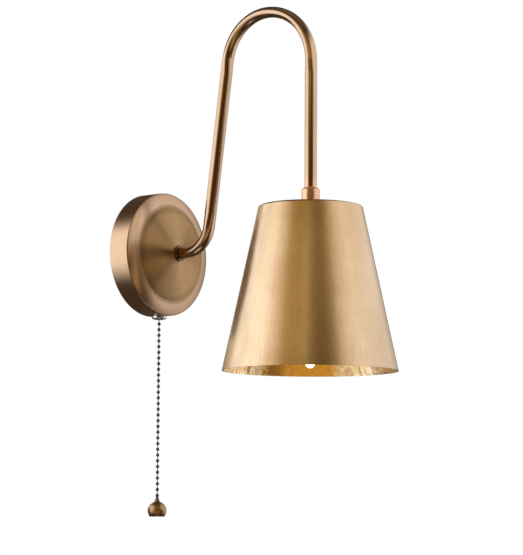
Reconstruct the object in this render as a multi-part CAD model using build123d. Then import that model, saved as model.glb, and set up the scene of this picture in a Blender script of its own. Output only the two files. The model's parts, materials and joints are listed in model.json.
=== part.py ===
from build123d import *
import os
from math import acos, asin, atan2, cos, degrees, pi, radians, sin, sqrt

# Hanging pendant wall sconce with a pull chain, in millimetres.
# Origin: centre of the canopy on the wall plane. +Z is up, the wall is on the +Y side and the arm
# reaches out along -Y, in the plane X = 0. "Out" below is the distance from the wall, which is -Y.

# ---- clearances
SCREW_GAP = 0.05  # radial gap between a thread and the hole that it is screwed into
LOOSE_GAP = 0.3  # gap between faces that only lie near each other
HOLE_GAP = 0.25  # radial gap of a plain clearance hole

# ---- canopy: a spun brass dish
CANOPY_R = 62.5
CANOPY_RIM = 23.0  # out from the wall to the corner of the rim
CANOPY_WALL = 1.0
CANOPY_CORNER = 0.9
BAND_W = 14.0  # radial width of the raised band behind the crease
BAND_RISE = 4.5
CREASE_W = 1.8  # radial width of the soft crease between band and dome
CREASE_RISE = 0.6
DOME_OUT = 38.3  # out from the wall to the flat land in the middle of the dome
DOME_BULGE = 2.1  # how far the dome's arc stands proud of a straight cone
LAND_R = 10.0

# ---- arm: one bent tube
TUBE_OD = 12.0
TUBE_WALL = 1.0
ARM_REACH = 204.0  # out from the wall to the axis of the drop and the shade
ARM_ROOT_RUN = 9.2  # straight tube between its seat in the base ring and the first bend
CROOK_TOP = 233.5  # height of the tube's centreline at the top
LOWER_BEND_R = 29.0
CROOK_REAR_R = 49.0
CROOK_FRONT_R = 55.5
LOWER_FLAT = 0.87  # a bend squeezes the tube in its own plane to this share
CROOK_FLAT = 0.90
SQUEEZE_RUN = 12.0  # length of straight tube over which the squeeze fades out

# ---- arm root
ROOT_RING_OD = 16.0
ROOT_RING_H = 2.5
ROOT_RECESS_H = 1.4
ROOT_RECESS_GAP = 0.8
THREAD_OD = 10.0  # M10 x 1, the usual lighting thread
NIPPLE_BORE = 7.2
ROOT_NIPPLE_IN_TUBE = 5.0
NUT_FLATS = 14.0
NUT_H = 4.0
WASHER_OD = 18.0
WASHER_H = 1.5
NIPPLE_PROUD = 2.0

# ---- drop end
COLLAR_OD = 17.6
COLLAR_H = 18.0
COLLAR_CHAMFER = 1.5
END_RING_OD = 12.8
END_RING_H = 1.3
HOLDER_NIPPLE_IN_TUBE = 12.0

# ---- shade: a spun brass cone, gold leaf inside
SHADE_TOP_Z = 34.0
SHADE_BOTTOM_Z = -125.5
SHADE_TOP_R = 50.5
SHADE_BOTTOM_R = 85.0
SHADE_WALL = 1.0
SHADE_EDGE_R = 2.0
LEAF_T = 0.2
LEAF_HOLE_R = 16.0

# ---- lampholder, E14
CAP_R = 13.5
CAP_H = 22.0
CAP_WALL = 1.5
CAP_DROP = 13.0  # from the shade's underside to the top of the cap
BODY_SKIRT_R = 12.8
BODY_H = 40.0
BODY_WALL = 1.0
BODY_NECK_H = 6.0
BODY_RIB_T = 1.6
BASE_DEPTH = 17.0  # from the body's top edge down to the face that carries the contact
BASE_T = 7.0
SHELL_BORE_R = 7.35
SHELL_WALL = 0.4
CONTACT_H = 1.0
CONTACT_R = 2.5

# ---- lamp: a pointed candle lamp with an E14 cap
LAMP_CAP_R = 6.95
LAMP_CAP_H = 22.0
LAMP_R = 17.5
LAMP_BELLY = 0.44  # how far down the glass its widest place is, as a share of its length
LAMP_LENGTH = 102.8
GLASS_T = 0.9
GLASS_NECK_R = 6.4
GLASS_TIP_R = 4.6
STEM_R = 1.7
STEM_H = 26.0
FILAMENT_R = 0.9
FILAMENT_H = 34.0
FILAMENT_RING_R = 5.0
FILAMENT_COUNT = 4
FILAMENT_POST_R = 0.5
FILAMENT_STRIP_T = 0.5

# ---- wall bracket
STRAP_T = 2.0
STRAP_W = 24.0
EYE_R = 22.0
CABLE_HOLE_R = 12.0
TONGUE_W = 24.0
TONGUE_TOP = 47.0
TAB_GAP = 1.2  # between a tab and the inside of the canopy's rim
TAB_W = 16.0
TAB_DEPTH = 19.0
WALL_SCREW_SPACING = 50.8  # two inches, as on a round ceiling or wall box
WALL_SLOT_L = 14.0
WALL_SLOT_W = 4.5
RIM_SCREW_OUT = 12.0

# ---- screws: nominal diameters
SIDE_SCREW_D = 4.0
EARTH_SCREW_D = 4.0
EARTH_FROM_TAB = 16.4  # from the outer face of the bracket's folded tab to the earth screw's axis
BLOCK_SCREW_D = 3.0
BLOCK_HEAD_D = 4.8
TERMINAL_SCREW_D = 2.6

# ---- terminal block
POLES = 2
POLE_W = 7.4
POLE_GAP = 5.2
BLOCK_H = 17.0
BLOCK_DEPTH = 14.0
BLOCK_MID_Z = 33.0
WIRE_BORE_R = 1.7
WIRE_OUT = 6.5  # from the block's foot to the axis of its wire bores
WELL_SPACING = 9.0

# ---- pull switch
SWITCH_OUT = 12.5  # out from the wall to the nozzle's axis
SWITCH_W = 22.0
SWITCH_D = 16.0
SWITCH_H = 30.0
SWITCH_WALL = 1.2
SWITCH_CORNER = 2.0
COVER_T = 1.6
COVER_LIP = 1.0
NOZZLE_BORE_R = 2.75
NOZZLE_PROUD = 0.6  # how far the nozzle stands out of the chrome nut
NOZZLE_MOUTH = 1.0
CHROME_NUT_OD = 14.6
CHROME_NUT_H = 3.1
CHROME_NUT_ROUND = 1.2
THIN_NUT_H = 2.7
THIN_NUT_FLATS = 13.0
PULL_TRAVEL = 7.0
SPRING_OD = 7.4
SPRING_WIRE = 0.5
SPRING_TURNS = 5
SPRING_SPARE = 1.5  # left between the turns, in all, when the chain is pulled right down
PLUNGER_HEAD_R = 4.6
PLUNGER_HEAD_H = 2.0
PLUNGER_STEM_R = 1.5
ROTOR_HUB_R = 3.0
ROTOR_H = 8.0
ROTOR_BAR_L = 11.6
ROTOR_BAR_W = 3.0
ROTOR_BAR_H = 2.4
ROTOR_PIN_R = 1.2
RUNNING_GAP = 0.05
CONTACT_STRIP_T = 0.6
CONTACT_STRIP_W = 5.0

# ---- chain
BEAD_R = 1.8
BEAD_PITCH = 5.78
BEAD_FLAT_R = 0.75
BEAD_COUNT = 31  # below the nozzle, the two pivot beads counted
FIRST_BEAD_DROP = 4.2  # from the nozzle's end to the first bead's centre
LINK_R = 0.45
LINK_HEAD_R = 0.8
LINK_HEAD_GAP = 0.08
SLOT_GAP = 0.1
SWING = 45.0  # the slot in a pivot bead lets its link swing this far each way, in degrees
CONNECTOR_TOP_R = 1.5
CONNECTOR_FOOT_R = 2.9
CONNECTOR_H = 5.0
PULL_R = 9.4
PULL_CUT = 5.9  # from the pull's centre down to its flat underside
PULL_BORE_R = 3.2
PULL_BORE_H = 7.0

# ---- leads
FLEX_R = 2.6
LEAD_R = 0.95
CORE_R = 1.35  # radius of the circle that the cores lie on in the flex
LEAD_BEND = 3.0


# ------------------------------------------------------------------ helpers
def ring(outer_r, inner_r, z_low, z_high):
    """A ring about the Z axis."""
    height = z_high - z_low
    body = Cylinder(outer_r, height, align=(Align.CENTER, Align.CENTER, Align.MIN))
    if inner_r:
        body -= Cylinder(inner_r, height, align=(Align.CENTER, Align.CENTER, Align.MIN))
    return Pos(0, 0, z_low) * body


def hex_nut(flats, bore_r, z_low, z_high):
    """A hexagonal nut about the Z axis, with two of its flats square to X."""
    height = z_high - z_low
    hexagon = Rot(0, 0, 30) * RegularPolygon(flats / 2, 6, major_radius=False)
    nut = extrude(hexagon, height)
    nut -= Cylinder(bore_r, height, align=(Align.CENTER, Align.CENTER, Align.MIN))
    return Pos(0, 0, z_low) * nut


def turned(*edges):
    """A solid of revolution about Z, from edges drawn with X as radius and Y as height."""
    face = make_face(Curve() + list(edges))
    return revolve(Plane.XZ * face, Axis.Z)


def turned_outline(*points):
    """As turned, from the corners of a closed outline."""
    return turned(Polyline(*points, close=True))


def out_from_wall(x, out, z):
    """Carries a piece drawn about +Z to a point, with its own +Z pointing out from the wall."""
    return Pos(x, -out, z) * Rot(90, 0, 0)


def on_drop(shape):
    """Carries a piece drawn about the Z axis onto the axis of the drop and the shade."""
    return Pos(0, -ARM_REACH, 0) * shape


def on_nozzle(shape):
    """Carries a piece drawn about the Z axis onto the axis of the switch's nozzle."""
    return Pos(0, -SWITCH_OUT, 0) * shape


def pan_screw(shank_d, length, head_d, head_h, slot_w=0.8):
    """A slotted pan-head screw along Z: the head above Z = 0, the shank below."""
    screw = ring(head_d / 2, 0, 0, head_h)
    screw = fillet(screw.edges().group_by(Axis.Z)[-1], head_h * 0.4)
    screw += ring(shank_d / 2, 0, -length, 0)
    slot = Box(head_d * 1.2, slot_w, head_h, align=(Align.CENTER, Align.CENTER, Align.MIN))
    return screw - Pos(0, 0, head_h * 0.55) * slot


def save(name, *shapes):
    """Writes one node: a single solid, or a group of separate solids."""
    solids = [solid for shape in shapes for solid in shape.solids()]
    node = solids[0] if len(solids) == 1 else Compound(children=solids)
    export_step(node, f"parts/{name}.step")


# ------------------------------------------------------------------ canopy
def canopy_form(inset):
    """The dish's outside, or its inside when inset by the wall."""
    r, rim, dome = CANOPY_R - inset, CANOPY_RIM - inset, DOME_OUT - inset
    back = inset  # the inside is cut from behind the wall plane
    crease_r = r - BAND_W
    crease_out = rim + BAND_RISE
    foot_r, foot_out = crease_r - CREASE_W, crease_out + CREASE_RISE
    corner = max(CANOPY_CORNER - inset / 2, 0.3)
    cut = corner * (1 - cos(pi / 4))
    band_mid = (crease_r + r - corner) / 2
    dome_mid_r, dome_mid_out = (foot_r + LAND_R) / 2, (foot_out + dome) / 2
    return turned(
        Line((0, -back), (r, -back)),
        Line((r, -back), (r, rim - corner)),
        ThreePointArc((r, rim - corner), (r - cut, rim - cut), (r - corner, rim)),
        ThreePointArc(
            (r - corner, rim), (band_mid, rim + BAND_RISE * 0.62), (crease_r, crease_out)
        ),
        ThreePointArc(
            (crease_r, crease_out),
            (crease_r - CREASE_W * 0.5, crease_out + CREASE_RISE * 0.22),
            (foot_r, foot_out),
        ),
        ThreePointArc(
            (foot_r, foot_out), (dome_mid_r, dome_mid_out + DOME_BULGE), (LAND_R, dome)
        ),
        Line((LAND_R, dome), (0, dome)),
        Line((0, dome), (0, -back)),
    )


def canopy():
    dish = canopy_form(0) - canopy_form(CANOPY_WALL)
    dish -= ring(THREAD_OD / 2 + HOLE_GAP, 0, CANOPY_RIM, DOME_OUT + 1)
    dish = out_from_wall(0, 0, 0) * dish
    dish -= on_nozzle(ring(THREAD_OD / 2 + HOLE_GAP, 0, -CANOPY_R - 1, -CANOPY_R * 0.9))
    side_hole = ring(SIDE_SCREW_D / 2 + HOLE_GAP, 0, CANOPY_R * 0.9, CANOPY_R + 1)
    return dish - Pos(0, -RIM_SCREW_OUT, 0) * Rot(0, 90, 0) * side_hole


# ------------------------------------------------------------------ wall bracket and what it carries
TAB_X = CANOPY_R - CANOPY_WALL - TAB_GAP  # outer face of each folded tab


def wall_bracket():
    strap = Box(2 * TAB_X, STRAP_W, STRAP_T)
    plate = Pos(0, 0, STRAP_T / 2) * (strap + Cylinder(EYE_R, STRAP_T))
    tongue = Box(TONGUE_W, TONGUE_TOP, STRAP_T, align=(Align.CENTER, Align.MIN, Align.MIN))
    plate += fillet(tongue.edges().filter_by(Axis.Z).group_by(Axis.Y)[-1], 4)
    plate -= Cylinder(CABLE_HOLE_R, 3 * STRAP_T)
    for side in (-1, 1):
        slot = extrude(SlotOverall(WALL_SLOT_L, WALL_SLOT_W), STRAP_T)
        plate -= Pos(side * WALL_SCREW_SPACING / 2, 0, 0) * slot
        outer_face = Align.MAX if side > 0 else Align.MIN
        tab = Box(STRAP_T, TAB_W, TAB_DEPTH, align=(outer_face, Align.CENTER, Align.MIN))
        hole_r = SIDE_SCREW_D / 2 + (SCREW_GAP if side > 0 else HOLE_GAP)
        tab -= Pos(0, 0, RIM_SCREW_OUT) * Rot(0, 90, 0) * Cylinder(hole_r, 4 * STRAP_T)
        tab = fillet(tab.edges().filter_by(Axis.X).group_by(Axis.Z)[-1], 4)
        plate += Pos(side * TAB_X, 0, 0) * tab
        corner = plate.edges().filter_by(Axis.Y).group_by(Axis.X)[-1 if side > 0 else 0]
        plate = fillet(corner.sort_by(Axis.Z)[0], STRAP_T * 0.9)
    plate -= Pos(EARTH_X, 0, 0) * Cylinder(EARTH_SCREW_D / 2 + SCREW_GAP, 3 * STRAP_T)
    plate -= Pos(0, BLOCK_MID_Z, 0) * Cylinder(BLOCK_SCREW_D / 2 + SCREW_GAP, 3 * STRAP_T)
    return out_from_wall(0, 0, 0) * plate


EARTH_X = EARTH_FROM_TAB - TAB_X
EARTH_WASHER_R = 4.4
EARTH_WASHER_T = 0.8
EARTH_HEAD_D = 7.6
SIDE_HEAD_D = 7.0
SIDE_HEAD_H = 2.4
PIN_LENGTH = 6.0


def earth_screw():
    screw = pan_screw(EARTH_SCREW_D, STRAP_T + EARTH_WASHER_T, EARTH_HEAD_D, 2.6)
    washer = ring(EARTH_WASHER_R, EARTH_SCREW_D / 2 + HOLE_GAP, 0, EARTH_WASHER_T)
    place = out_from_wall(EARTH_X, STRAP_T, 0)
    return place * Pos(0, 0, EARTH_WASHER_T) * screw, place * washer


def canopy_side_screw():
    length = CANOPY_WALL + TAB_GAP + STRAP_T + 2
    screw = pan_screw(SIDE_SCREW_D, length, SIDE_HEAD_D, SIDE_HEAD_H)
    return Pos(CANOPY_R, -RIM_SCREW_OUT, 0) * Rot(0, 90, 0) * screw


def canopy_locating_pin():
    """A stud welded to the inside of the rim, which drops into the tab opposite the screw."""
    reach = CANOPY_R - CANOPY_WALL
    pin = Pos(-reach, -RIM_SCREW_OUT, 0) * Rot(0, 90, 0) * ring(SIDE_SCREW_D / 2, 0, 0, PIN_LENGTH)
    inside = Rot(90, 0, 0) * ring(reach, 0, 0, CANOPY_RIM)
    return pin & inside


# ------------------------------------------------------------------ terminal block
POLE_PITCH = POLE_W + POLE_GAP
POLE_XS = [(i - (POLES - 1) / 2) * POLE_PITCH for i in range(POLES)]
BLOCK_BACK = STRAP_T
WIRE_Y = -(BLOCK_BACK + WIRE_OUT)
WEB_DEPTH = BLOCK_DEPTH * 0.45


def terminal_block():
    """A strip of open-ended barrels: wires go in along Z, screws come in from the front."""
    web_w = (POLES - 1) * POLE_PITCH
    block = Box(web_w, BLOCK_H * 0.6, WEB_DEPTH, align=(Align.CENTER, Align.CENTER, Align.MIN))
    for x in POLE_XS:
        pole = Box(POLE_W, BLOCK_H, BLOCK_DEPTH, align=(Align.CENTER, Align.CENTER, Align.MIN))
        pole = fillet(pole.edges().filter_by(Axis.Y).group_by(Axis.Z)[-1], 2)
        block += Pos(x, 0, 0) * pole
    for x in POLE_XS:
        block -= Pos(x, 0, WIRE_OUT) * Rot(90, 0, 0) * Cylinder(WIRE_BORE_R, 2 * BLOCK_H)
        for side in (-1, 1):
            well = ring(TERMINAL_SCREW_D / 2 + SCREW_GAP, 0, WIRE_OUT, BLOCK_DEPTH + 1)
            block -= Pos(x, side * WELL_SPACING / 2, 0) * well
    block -= Cylinder(BLOCK_SCREW_D / 2 + HOLE_GAP / 2, 4 * BLOCK_DEPTH)
    return out_from_wall(0, BLOCK_BACK, BLOCK_MID_Z) * block


def terminal_screws():
    length = BLOCK_DEPTH - WIRE_OUT - LEAD_R - 1.0
    for x in POLE_XS:
        for side in (-1, 1):
            screw = ring(TERMINAL_SCREW_D / 2, 0, 0, length)
            slot = Pos(0, 0, length) * Box(2 * TERMINAL_SCREW_D, 0.6, 1.4)
            z = BLOCK_MID_Z + side * WELL_SPACING / 2
            yield out_from_wall(x, BLOCK_BACK + WIRE_OUT + LEAD_R, z) * (screw - slot)


def terminal_block_screw():
    screw = pan_screw(BLOCK_SCREW_D, WEB_DEPTH + STRAP_T * 0.9, BLOCK_HEAD_D, 1.6, 0.6)
    return out_from_wall(0, BLOCK_BACK + WEB_DEPTH, BLOCK_MID_Z) * screw


# ------------------------------------------------------------------ arm
def arm_route():
    """Named points of the tube's centreline, as (out, z), and the degrees that the first bend turns.
    The long leg is the straight line that is tangent to the lower bend and to the crook's rear."""
    bend_start = (TUBE_START + ARM_ROOT_RUN, 0)
    crook_out = ARM_REACH - CROOK_FRONT_R
    rear = (crook_out, CROOK_TOP - CROOK_REAR_R)
    front = (crook_out, CROOK_TOP - CROOK_FRONT_R)
    across, up = rear[0] - bend_start[0], rear[1] - LOWER_BEND_R
    between_centres = sqrt(across**2 + up**2)
    turn = atan2(up, across) + asin((LOWER_BEND_R + CROOK_REAR_R) / between_centres)
    bend_end = (bend_start[0] + LOWER_BEND_R * sin(turn), LOWER_BEND_R * (1 - cos(turn)))
    crook_start = (rear[0] - CROOK_REAR_R * sin(turn), rear[1] + CROOK_REAR_R * cos(turn))
    return bend_start, bend_end, crook_start, rear, front, degrees(turn)


def along_arm(point, heading, run=0.0):
    """The section plane at a point of the arm, moved along its heading. Headings are in degrees
    above straight out from the wall."""
    step = radians(heading)
    out, z = point[0] + run * cos(step), point[1] + run * sin(step)
    return Plane(origin=(0, -out, z), x_dir=(1, 0, 0), z_dir=(0, -cos(step), sin(step)))


def arm_solid(radius, lower_flat, crook_flat, start_out, end_z):
    """A round bar along the arm, squeezed to an oval in the bends, where it keeps its girth."""

    def section(plane, flat):
        if flat == 1:
            return plane * Circle(radius)
        return plane * Ellipse(radius * (2 - flat), radius * flat)

    def straight(point, heading, run_a, run_b):
        return extrude(section(along_arm(point, heading, run_a), 1), run_b - run_a)

    def fade(point, heading, run_a, flat_a, run_b, flat_b):
        if flat_a == flat_b:
            return straight(point, heading, run_a, run_b)
        return loft(
            [
                section(along_arm(point, heading, run_a), flat_a),
                section(along_arm(point, heading, run_b), flat_b),
            ]
        )

    def bend(point, heading, flat, centre, turn, side):
        axis = Axis((0, -centre[0], centre[1]), (side, 0, 0))
        return revolve(section(along_arm(point, heading), flat), axis, turn)

    bend_start, bend_end, crook_start, rear, front, turn = arm_route()
    top = (rear[0], CROOK_TOP)
    drop = (ARM_REACH, front[1])
    leg = sqrt((crook_start[0] - bend_end[0]) ** 2 + (crook_start[1] - bend_end[1]) ** 2)
    run = SQUEEZE_RUN
    root_run = min(run, ARM_ROOT_RUN - ROOT_NIPPLE_IN_TUBE)
    pieces = [
        straight(bend_start, 0, start_out - bend_start[0], -root_run),
        fade(bend_start, 0, -root_run, 1, 0, lower_flat),
        bend(bend_start, 0, lower_flat, (bend_start[0], LOWER_BEND_R), turn, -1),
        fade(bend_end, turn, 0, lower_flat, run, 1),
        straight(bend_end, turn, run, leg - run),
        fade(crook_start, turn, -run, 1, 0, crook_flat),
        bend(crook_start, turn, crook_flat, rear, turn, 1),
        bend(top, 0, crook_flat, front, 90, 1),
        fade(drop, -90, 0, crook_flat, run, 1),
        straight(drop, -90, run, drop[1] - end_z),
    ]
    return Solid(pieces[0].fuse(*pieces[1:]).solids()[0].wrapped)


RING_BACK = DOME_OUT
TUBE_START = RING_BACK + ROOT_RING_H - ROOT_RECESS_H
COLLAR_TOP = SHADE_TOP_Z + COLLAR_H
TUBE_END = COLLAR_TOP + END_RING_H
WASHER_OUT = DOME_OUT - CANOPY_WALL
ROOT_NIPPLE_BACK = WASHER_OUT - WASHER_H - NUT_H - NIPPLE_PROUD


def arm_tube():
    outer = arm_solid(TUBE_OD / 2, LOWER_FLAT, CROOK_FLAT, TUBE_START, TUBE_END)
    bore_r = TUBE_OD / 2 - TUBE_WALL
    bore = arm_solid(bore_r, LOWER_FLAT, CROOK_FLAT, TUBE_START - 1, TUBE_END - 1)
    return outer - bore


def arm_base_ring():
    """A turned washer whose recessed face takes the end of the tube."""
    recess_r = TUBE_OD / 2 + ROOT_RECESS_GAP
    body = ring(ROOT_RING_OD / 2, THREAD_OD / 2 + HOLE_GAP, 0, ROOT_RING_H)
    body -= ring(recess_r, 0, ROOT_RING_H - ROOT_RECESS_H, ROOT_RING_H + 1)
    rim = body.edges().filter_by(GeomType.CIRCLE).group_by(Axis.Z)[-1]
    body = chamfer(rim.sort_by(SortBy.RADIUS)[-1], 0.4)
    return out_from_wall(0, RING_BACK, 0) * body


def arm_root_nipple():
    front = TUBE_START + ROOT_NIPPLE_IN_TUBE
    body = ring(THREAD_OD / 2 - SCREW_GAP, NIPPLE_BORE / 2, ROOT_NIPPLE_BACK, front)
    return out_from_wall(0, 0, 0) * body


def arm_lock_washer():
    body = ring(WASHER_OD / 2, THREAD_OD / 2 + HOLE_GAP, WASHER_OUT - WASHER_H, WASHER_OUT)
    return out_from_wall(0, 0, 0) * body


def arm_nut():
    front = WASHER_OUT - WASHER_H
    return out_from_wall(0, 0, 0) * hex_nut(NUT_FLATS, THREAD_OD / 2, front - NUT_H, front)


FLEX_BACK = ROOT_NIPPLE_BACK - 2.0


# ------------------------------------------------------------------ drop end and shade
SHADE_UNDER = SHADE_TOP_Z - SHADE_WALL
CAP_TOP = SHADE_UNDER - CAP_DROP
FLEX_END = CAP_TOP - 3.0


def tube_end_ring():
    body = ring(END_RING_OD / 2, THREAD_OD / 2 + HOLE_GAP, COLLAR_TOP, TUBE_END)
    return on_drop(fillet(body.edges().filter_by(GeomType.CIRCLE).sort_by(SortBy.RADIUS)[-2:], 0.4))


def shade_collar():
    body = ring(COLLAR_OD / 2, THREAD_OD / 2 + HOLE_GAP, SHADE_TOP_Z, COLLAR_TOP)
    top = body.edges().filter_by(GeomType.CIRCLE).group_by(Axis.Z)[-1].sort_by(SortBy.RADIUS)[-1]
    return on_drop(chamfer(top, COLLAR_CHAMFER))


def holder_nipple():
    low = CAP_TOP - CAP_WALL * 2
    body = ring(THREAD_OD / 2 - SCREW_GAP, NIPPLE_BORE / 2, low, TUBE_END + HOLDER_NIPPLE_IN_TUBE)
    return on_drop(body)


def shade_nut():
    return on_drop(hex_nut(NUT_FLATS, THREAD_OD / 2, SHADE_UNDER - NUT_H, SHADE_UNDER))


def cone_form(inset_side, inset_top, edge_r):
    """The closed cone of the shade, or the space inside it."""
    slope = (SHADE_BOTTOM_R - SHADE_TOP_R) / (SHADE_TOP_Z - SHADE_BOTTOM_Z)
    side = inset_side * sqrt(1 + slope**2)  # the wall's thickness, measured along the radius
    top_z = SHADE_TOP_Z - inset_top
    top_r = SHADE_TOP_R + slope * inset_top - side
    foot = SHADE_BOTTOM_Z - inset_top  # the inside is cut from below the mouth
    foot_r = SHADE_BOTTOM_R + slope * inset_top - side
    if not inset_top:
        foot, foot_r = SHADE_BOTTOM_Z, SHADE_BOTTOM_R
    outline = Polyline((0, top_z), (top_r, top_z), (foot_r, foot), (0, foot), close=True)
    face = make_face(outline)
    corner = face.vertices().filter_by(lambda v: abs(v.Y - top_z) < 1e-6 and v.X > top_r / 2)
    return revolve(Plane.XZ * fillet(corner, edge_r), Axis.Z)


def shade():
    body = cone_form(0, 0, SHADE_EDGE_R) - cone_form(SHADE_WALL, SHADE_WALL, SHADE_EDGE_R - SHADE_WALL)
    body -= ring(THREAD_OD / 2 + HOLE_GAP, 0, SHADE_TOP_Z - 5, SHADE_TOP_Z + 5)
    return on_drop(body)


def gold_leaf_lining():
    skin = SHADE_WALL + LEAF_T
    body = cone_form(SHADE_WALL, SHADE_WALL, SHADE_EDGE_R - SHADE_WALL)
    body -= cone_form(skin, skin, max(SHADE_EDGE_R - skin, 0.2))
    body -= ring(LEAF_HOLE_R, 0, SHADE_TOP_Z - 5, SHADE_TOP_Z + 5)
    body -= ring(2 * SHADE_BOTTOM_R, 0, SHADE_BOTTOM_Z - 5, SHADE_BOTTOM_Z)
    return on_drop(body)


# ------------------------------------------------------------------ lampholder
CAP_FOOT = CAP_TOP - CAP_H
BODY_FOOT = CAP_FOOT - BODY_H
BASE_FACE = CAP_FOOT - BASE_DEPTH
CAP_BORE_R = CAP_R - CAP_WALL
NECK_R = CAP_BORE_R - SCREW_GAP
FLANGE_H = 6.0


def lampholder_cap():
    """A moulded bell with a threaded neck for the nipple."""
    neck_r = THREAD_OD / 2
    top_r = neck_r + 3
    shoulder = CAP_R - top_r
    outer_arc = ThreePointArc(
        (top_r, CAP_TOP),
        (CAP_R - shoulder * (1 - cos(pi / 4)), CAP_TOP - shoulder * (1 - sin(pi / 4))),
        (CAP_R, CAP_TOP - shoulder),
    )
    floor = CAP_TOP - 2 * CAP_WALL
    inner = CAP_BORE_R - 4
    inner_arc = ThreePointArc(
        (CAP_BORE_R, floor - 4),
        (CAP_BORE_R - 4 * (1 - cos(pi / 4)), floor - 4 * (1 - sin(pi / 4))),
        (inner, floor),
    )
    return on_drop(
        turned(
            Line((neck_r, CAP_TOP), (top_r, CAP_TOP)),
            outer_arc,
            Line((CAP_R, CAP_TOP - shoulder), (CAP_R, CAP_FOOT)),
            Line((CAP_R, CAP_FOOT), (CAP_BORE_R, CAP_FOOT)),
            Line((CAP_BORE_R, CAP_FOOT), (CAP_BORE_R, floor - 4)),
            inner_arc,
            Line((inner, floor), (neck_r, floor)),
            Line((neck_r, floor), (neck_r, CAP_TOP)),
        )
    )


def lampholder_body():
    """The moulded body: a neck screwed into the cap, a flange, a long skirt and a floor between."""
    skirt_bore = BODY_SKIRT_R - BODY_WALL
    neck_bore = NECK_R - 2 * BODY_WALL
    body = turned_outline(
        (NECK_R, CAP_FOOT + BODY_NECK_H),
        (NECK_R, CAP_FOOT),
        (CAP_R, CAP_FOOT),
        (CAP_R, CAP_FOOT - FLANGE_H),
        (BODY_SKIRT_R, CAP_FOOT - FLANGE_H - 1),
        (BODY_SKIRT_R, BODY_FOOT),
        (skirt_bore, BODY_FOOT),
        (skirt_bore, BASE_FACE),
        (CONTACT_R * 0.6, BASE_FACE),
        (CONTACT_R * 0.6, BASE_FACE + BASE_T),
        (neck_bore, BASE_FACE + BASE_T),
        (neck_bore, CAP_FOOT + BODY_NECK_H),
    )
    ribs = ring(skirt_bore + 0.2, SHELL_BORE_R + SHELL_WALL, BODY_FOOT + 4, BASE_FACE + 1)
    cross = Box(4 * CAP_R, BODY_RIB_T, 4 * BODY_H) + Box(BODY_RIB_T, 4 * CAP_R, 4 * BODY_H)
    return on_drop(body + (ribs & cross))


def lampholder_screw_shell():
    """The brass shell that the lamp's cap screws into, between the body's ribs and its floor."""
    outer = SHELL_BORE_R + SHELL_WALL
    body = ring(outer, SHELL_BORE_R, BODY_FOOT + 3, BASE_FACE)
    return on_drop(body)


def lampholder_centre_contact():
    stem = ring(CONTACT_R * 0.6 - RUNNING_GAP, 0, BASE_FACE, BASE_FACE + BASE_T + 1)
    return on_drop(ring(CONTACT_R, 0, BASE_FACE - CONTACT_H, BASE_FACE) + stem)


# ------------------------------------------------------------------ lamp
LAMP_BASE = BASE_FACE - CONTACT_H
LAMP_NECK = LAMP_BASE - LAMP_CAP_H
LAMP_TIP = LAMP_BASE - LAMP_LENGTH


def lamp_cap():
    rolled = 0.3
    insulator = 3.5
    profile = turned_outline(
        (0, LAMP_BASE),
        (2.2, LAMP_BASE),
        (2.6, LAMP_BASE - 0.8),
        (LAMP_CAP_R - 1.2, LAMP_BASE - insulator),
        (LAMP_CAP_R, LAMP_BASE - insulator - 0.6),
        (LAMP_CAP_R, LAMP_NECK + 1),
        (LAMP_CAP_R + rolled, LAMP_NECK),
        (GLASS_NECK_R, LAMP_NECK),
        (GLASS_NECK_R, LAMP_NECK + 12),
        (0, LAMP_NECK + 12),
    )
    return on_drop(profile)


def glass_edges(inset):
    """Half of the bulb's outline: two long arcs that meet at the belly, and a small round tip."""
    top = LAMP_NECK + 10
    belly_z = LAMP_NECK - (LAMP_NECK - LAMP_TIP) * LAMP_BELLY
    rise = LAMP_NECK - belly_z
    swell = LAMP_R - GLASS_NECK_R
    upper_r = (swell**2 + rise**2) / (2 * swell)
    fall = belly_z - LAMP_TIP - GLASS_TIP_R
    lower_r = (LAMP_R**2 + fall**2 - GLASS_TIP_R**2) / (2 * (LAMP_R - GLASS_TIP_R))

    def on_arc(centre_x, centre_z, radius, angle):
        return (centre_x + (radius - inset) * cos(angle), centre_z + (radius - inset) * sin(angle))

    upper = (LAMP_R - upper_r, belly_z, upper_r)
    lower = (LAMP_R - lower_r, belly_z, lower_r)
    tip = (0, LAMP_TIP + GLASS_TIP_R, GLASS_TIP_R)
    neck_r = GLASS_NECK_R - inset
    # Where the inset upper arc reaches the neck's radius.
    neck_turn = acos((neck_r - upper[0]) / (upper_r - inset))
    tip_turn = -atan2(fall, -lower[0])
    neck = on_arc(*upper, neck_turn)
    return [
        Line((0, top), (neck_r, top)),
        Line((neck_r, top), neck),
        ThreePointArc(neck, on_arc(*upper, neck_turn / 2), on_arc(*upper, 0)),
        ThreePointArc(on_arc(*lower, 0), on_arc(*lower, tip_turn / 2), on_arc(*lower, tip_turn)),
        ThreePointArc(
            on_arc(*tip, tip_turn), on_arc(*tip, (tip_turn - pi / 2) / 2), on_arc(*tip, -pi / 2)
        ),
        Line(on_arc(*tip, -pi / 2), (0, top)),
    ]


def lamp_glass():
    return on_drop(turned(*glass_edges(0)) - turned(*glass_edges(GLASS_T)))


STEM_FOOT_Z = LAMP_NECK + 4
STEM_TIP = STEM_FOOT_Z - STEM_H


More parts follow.
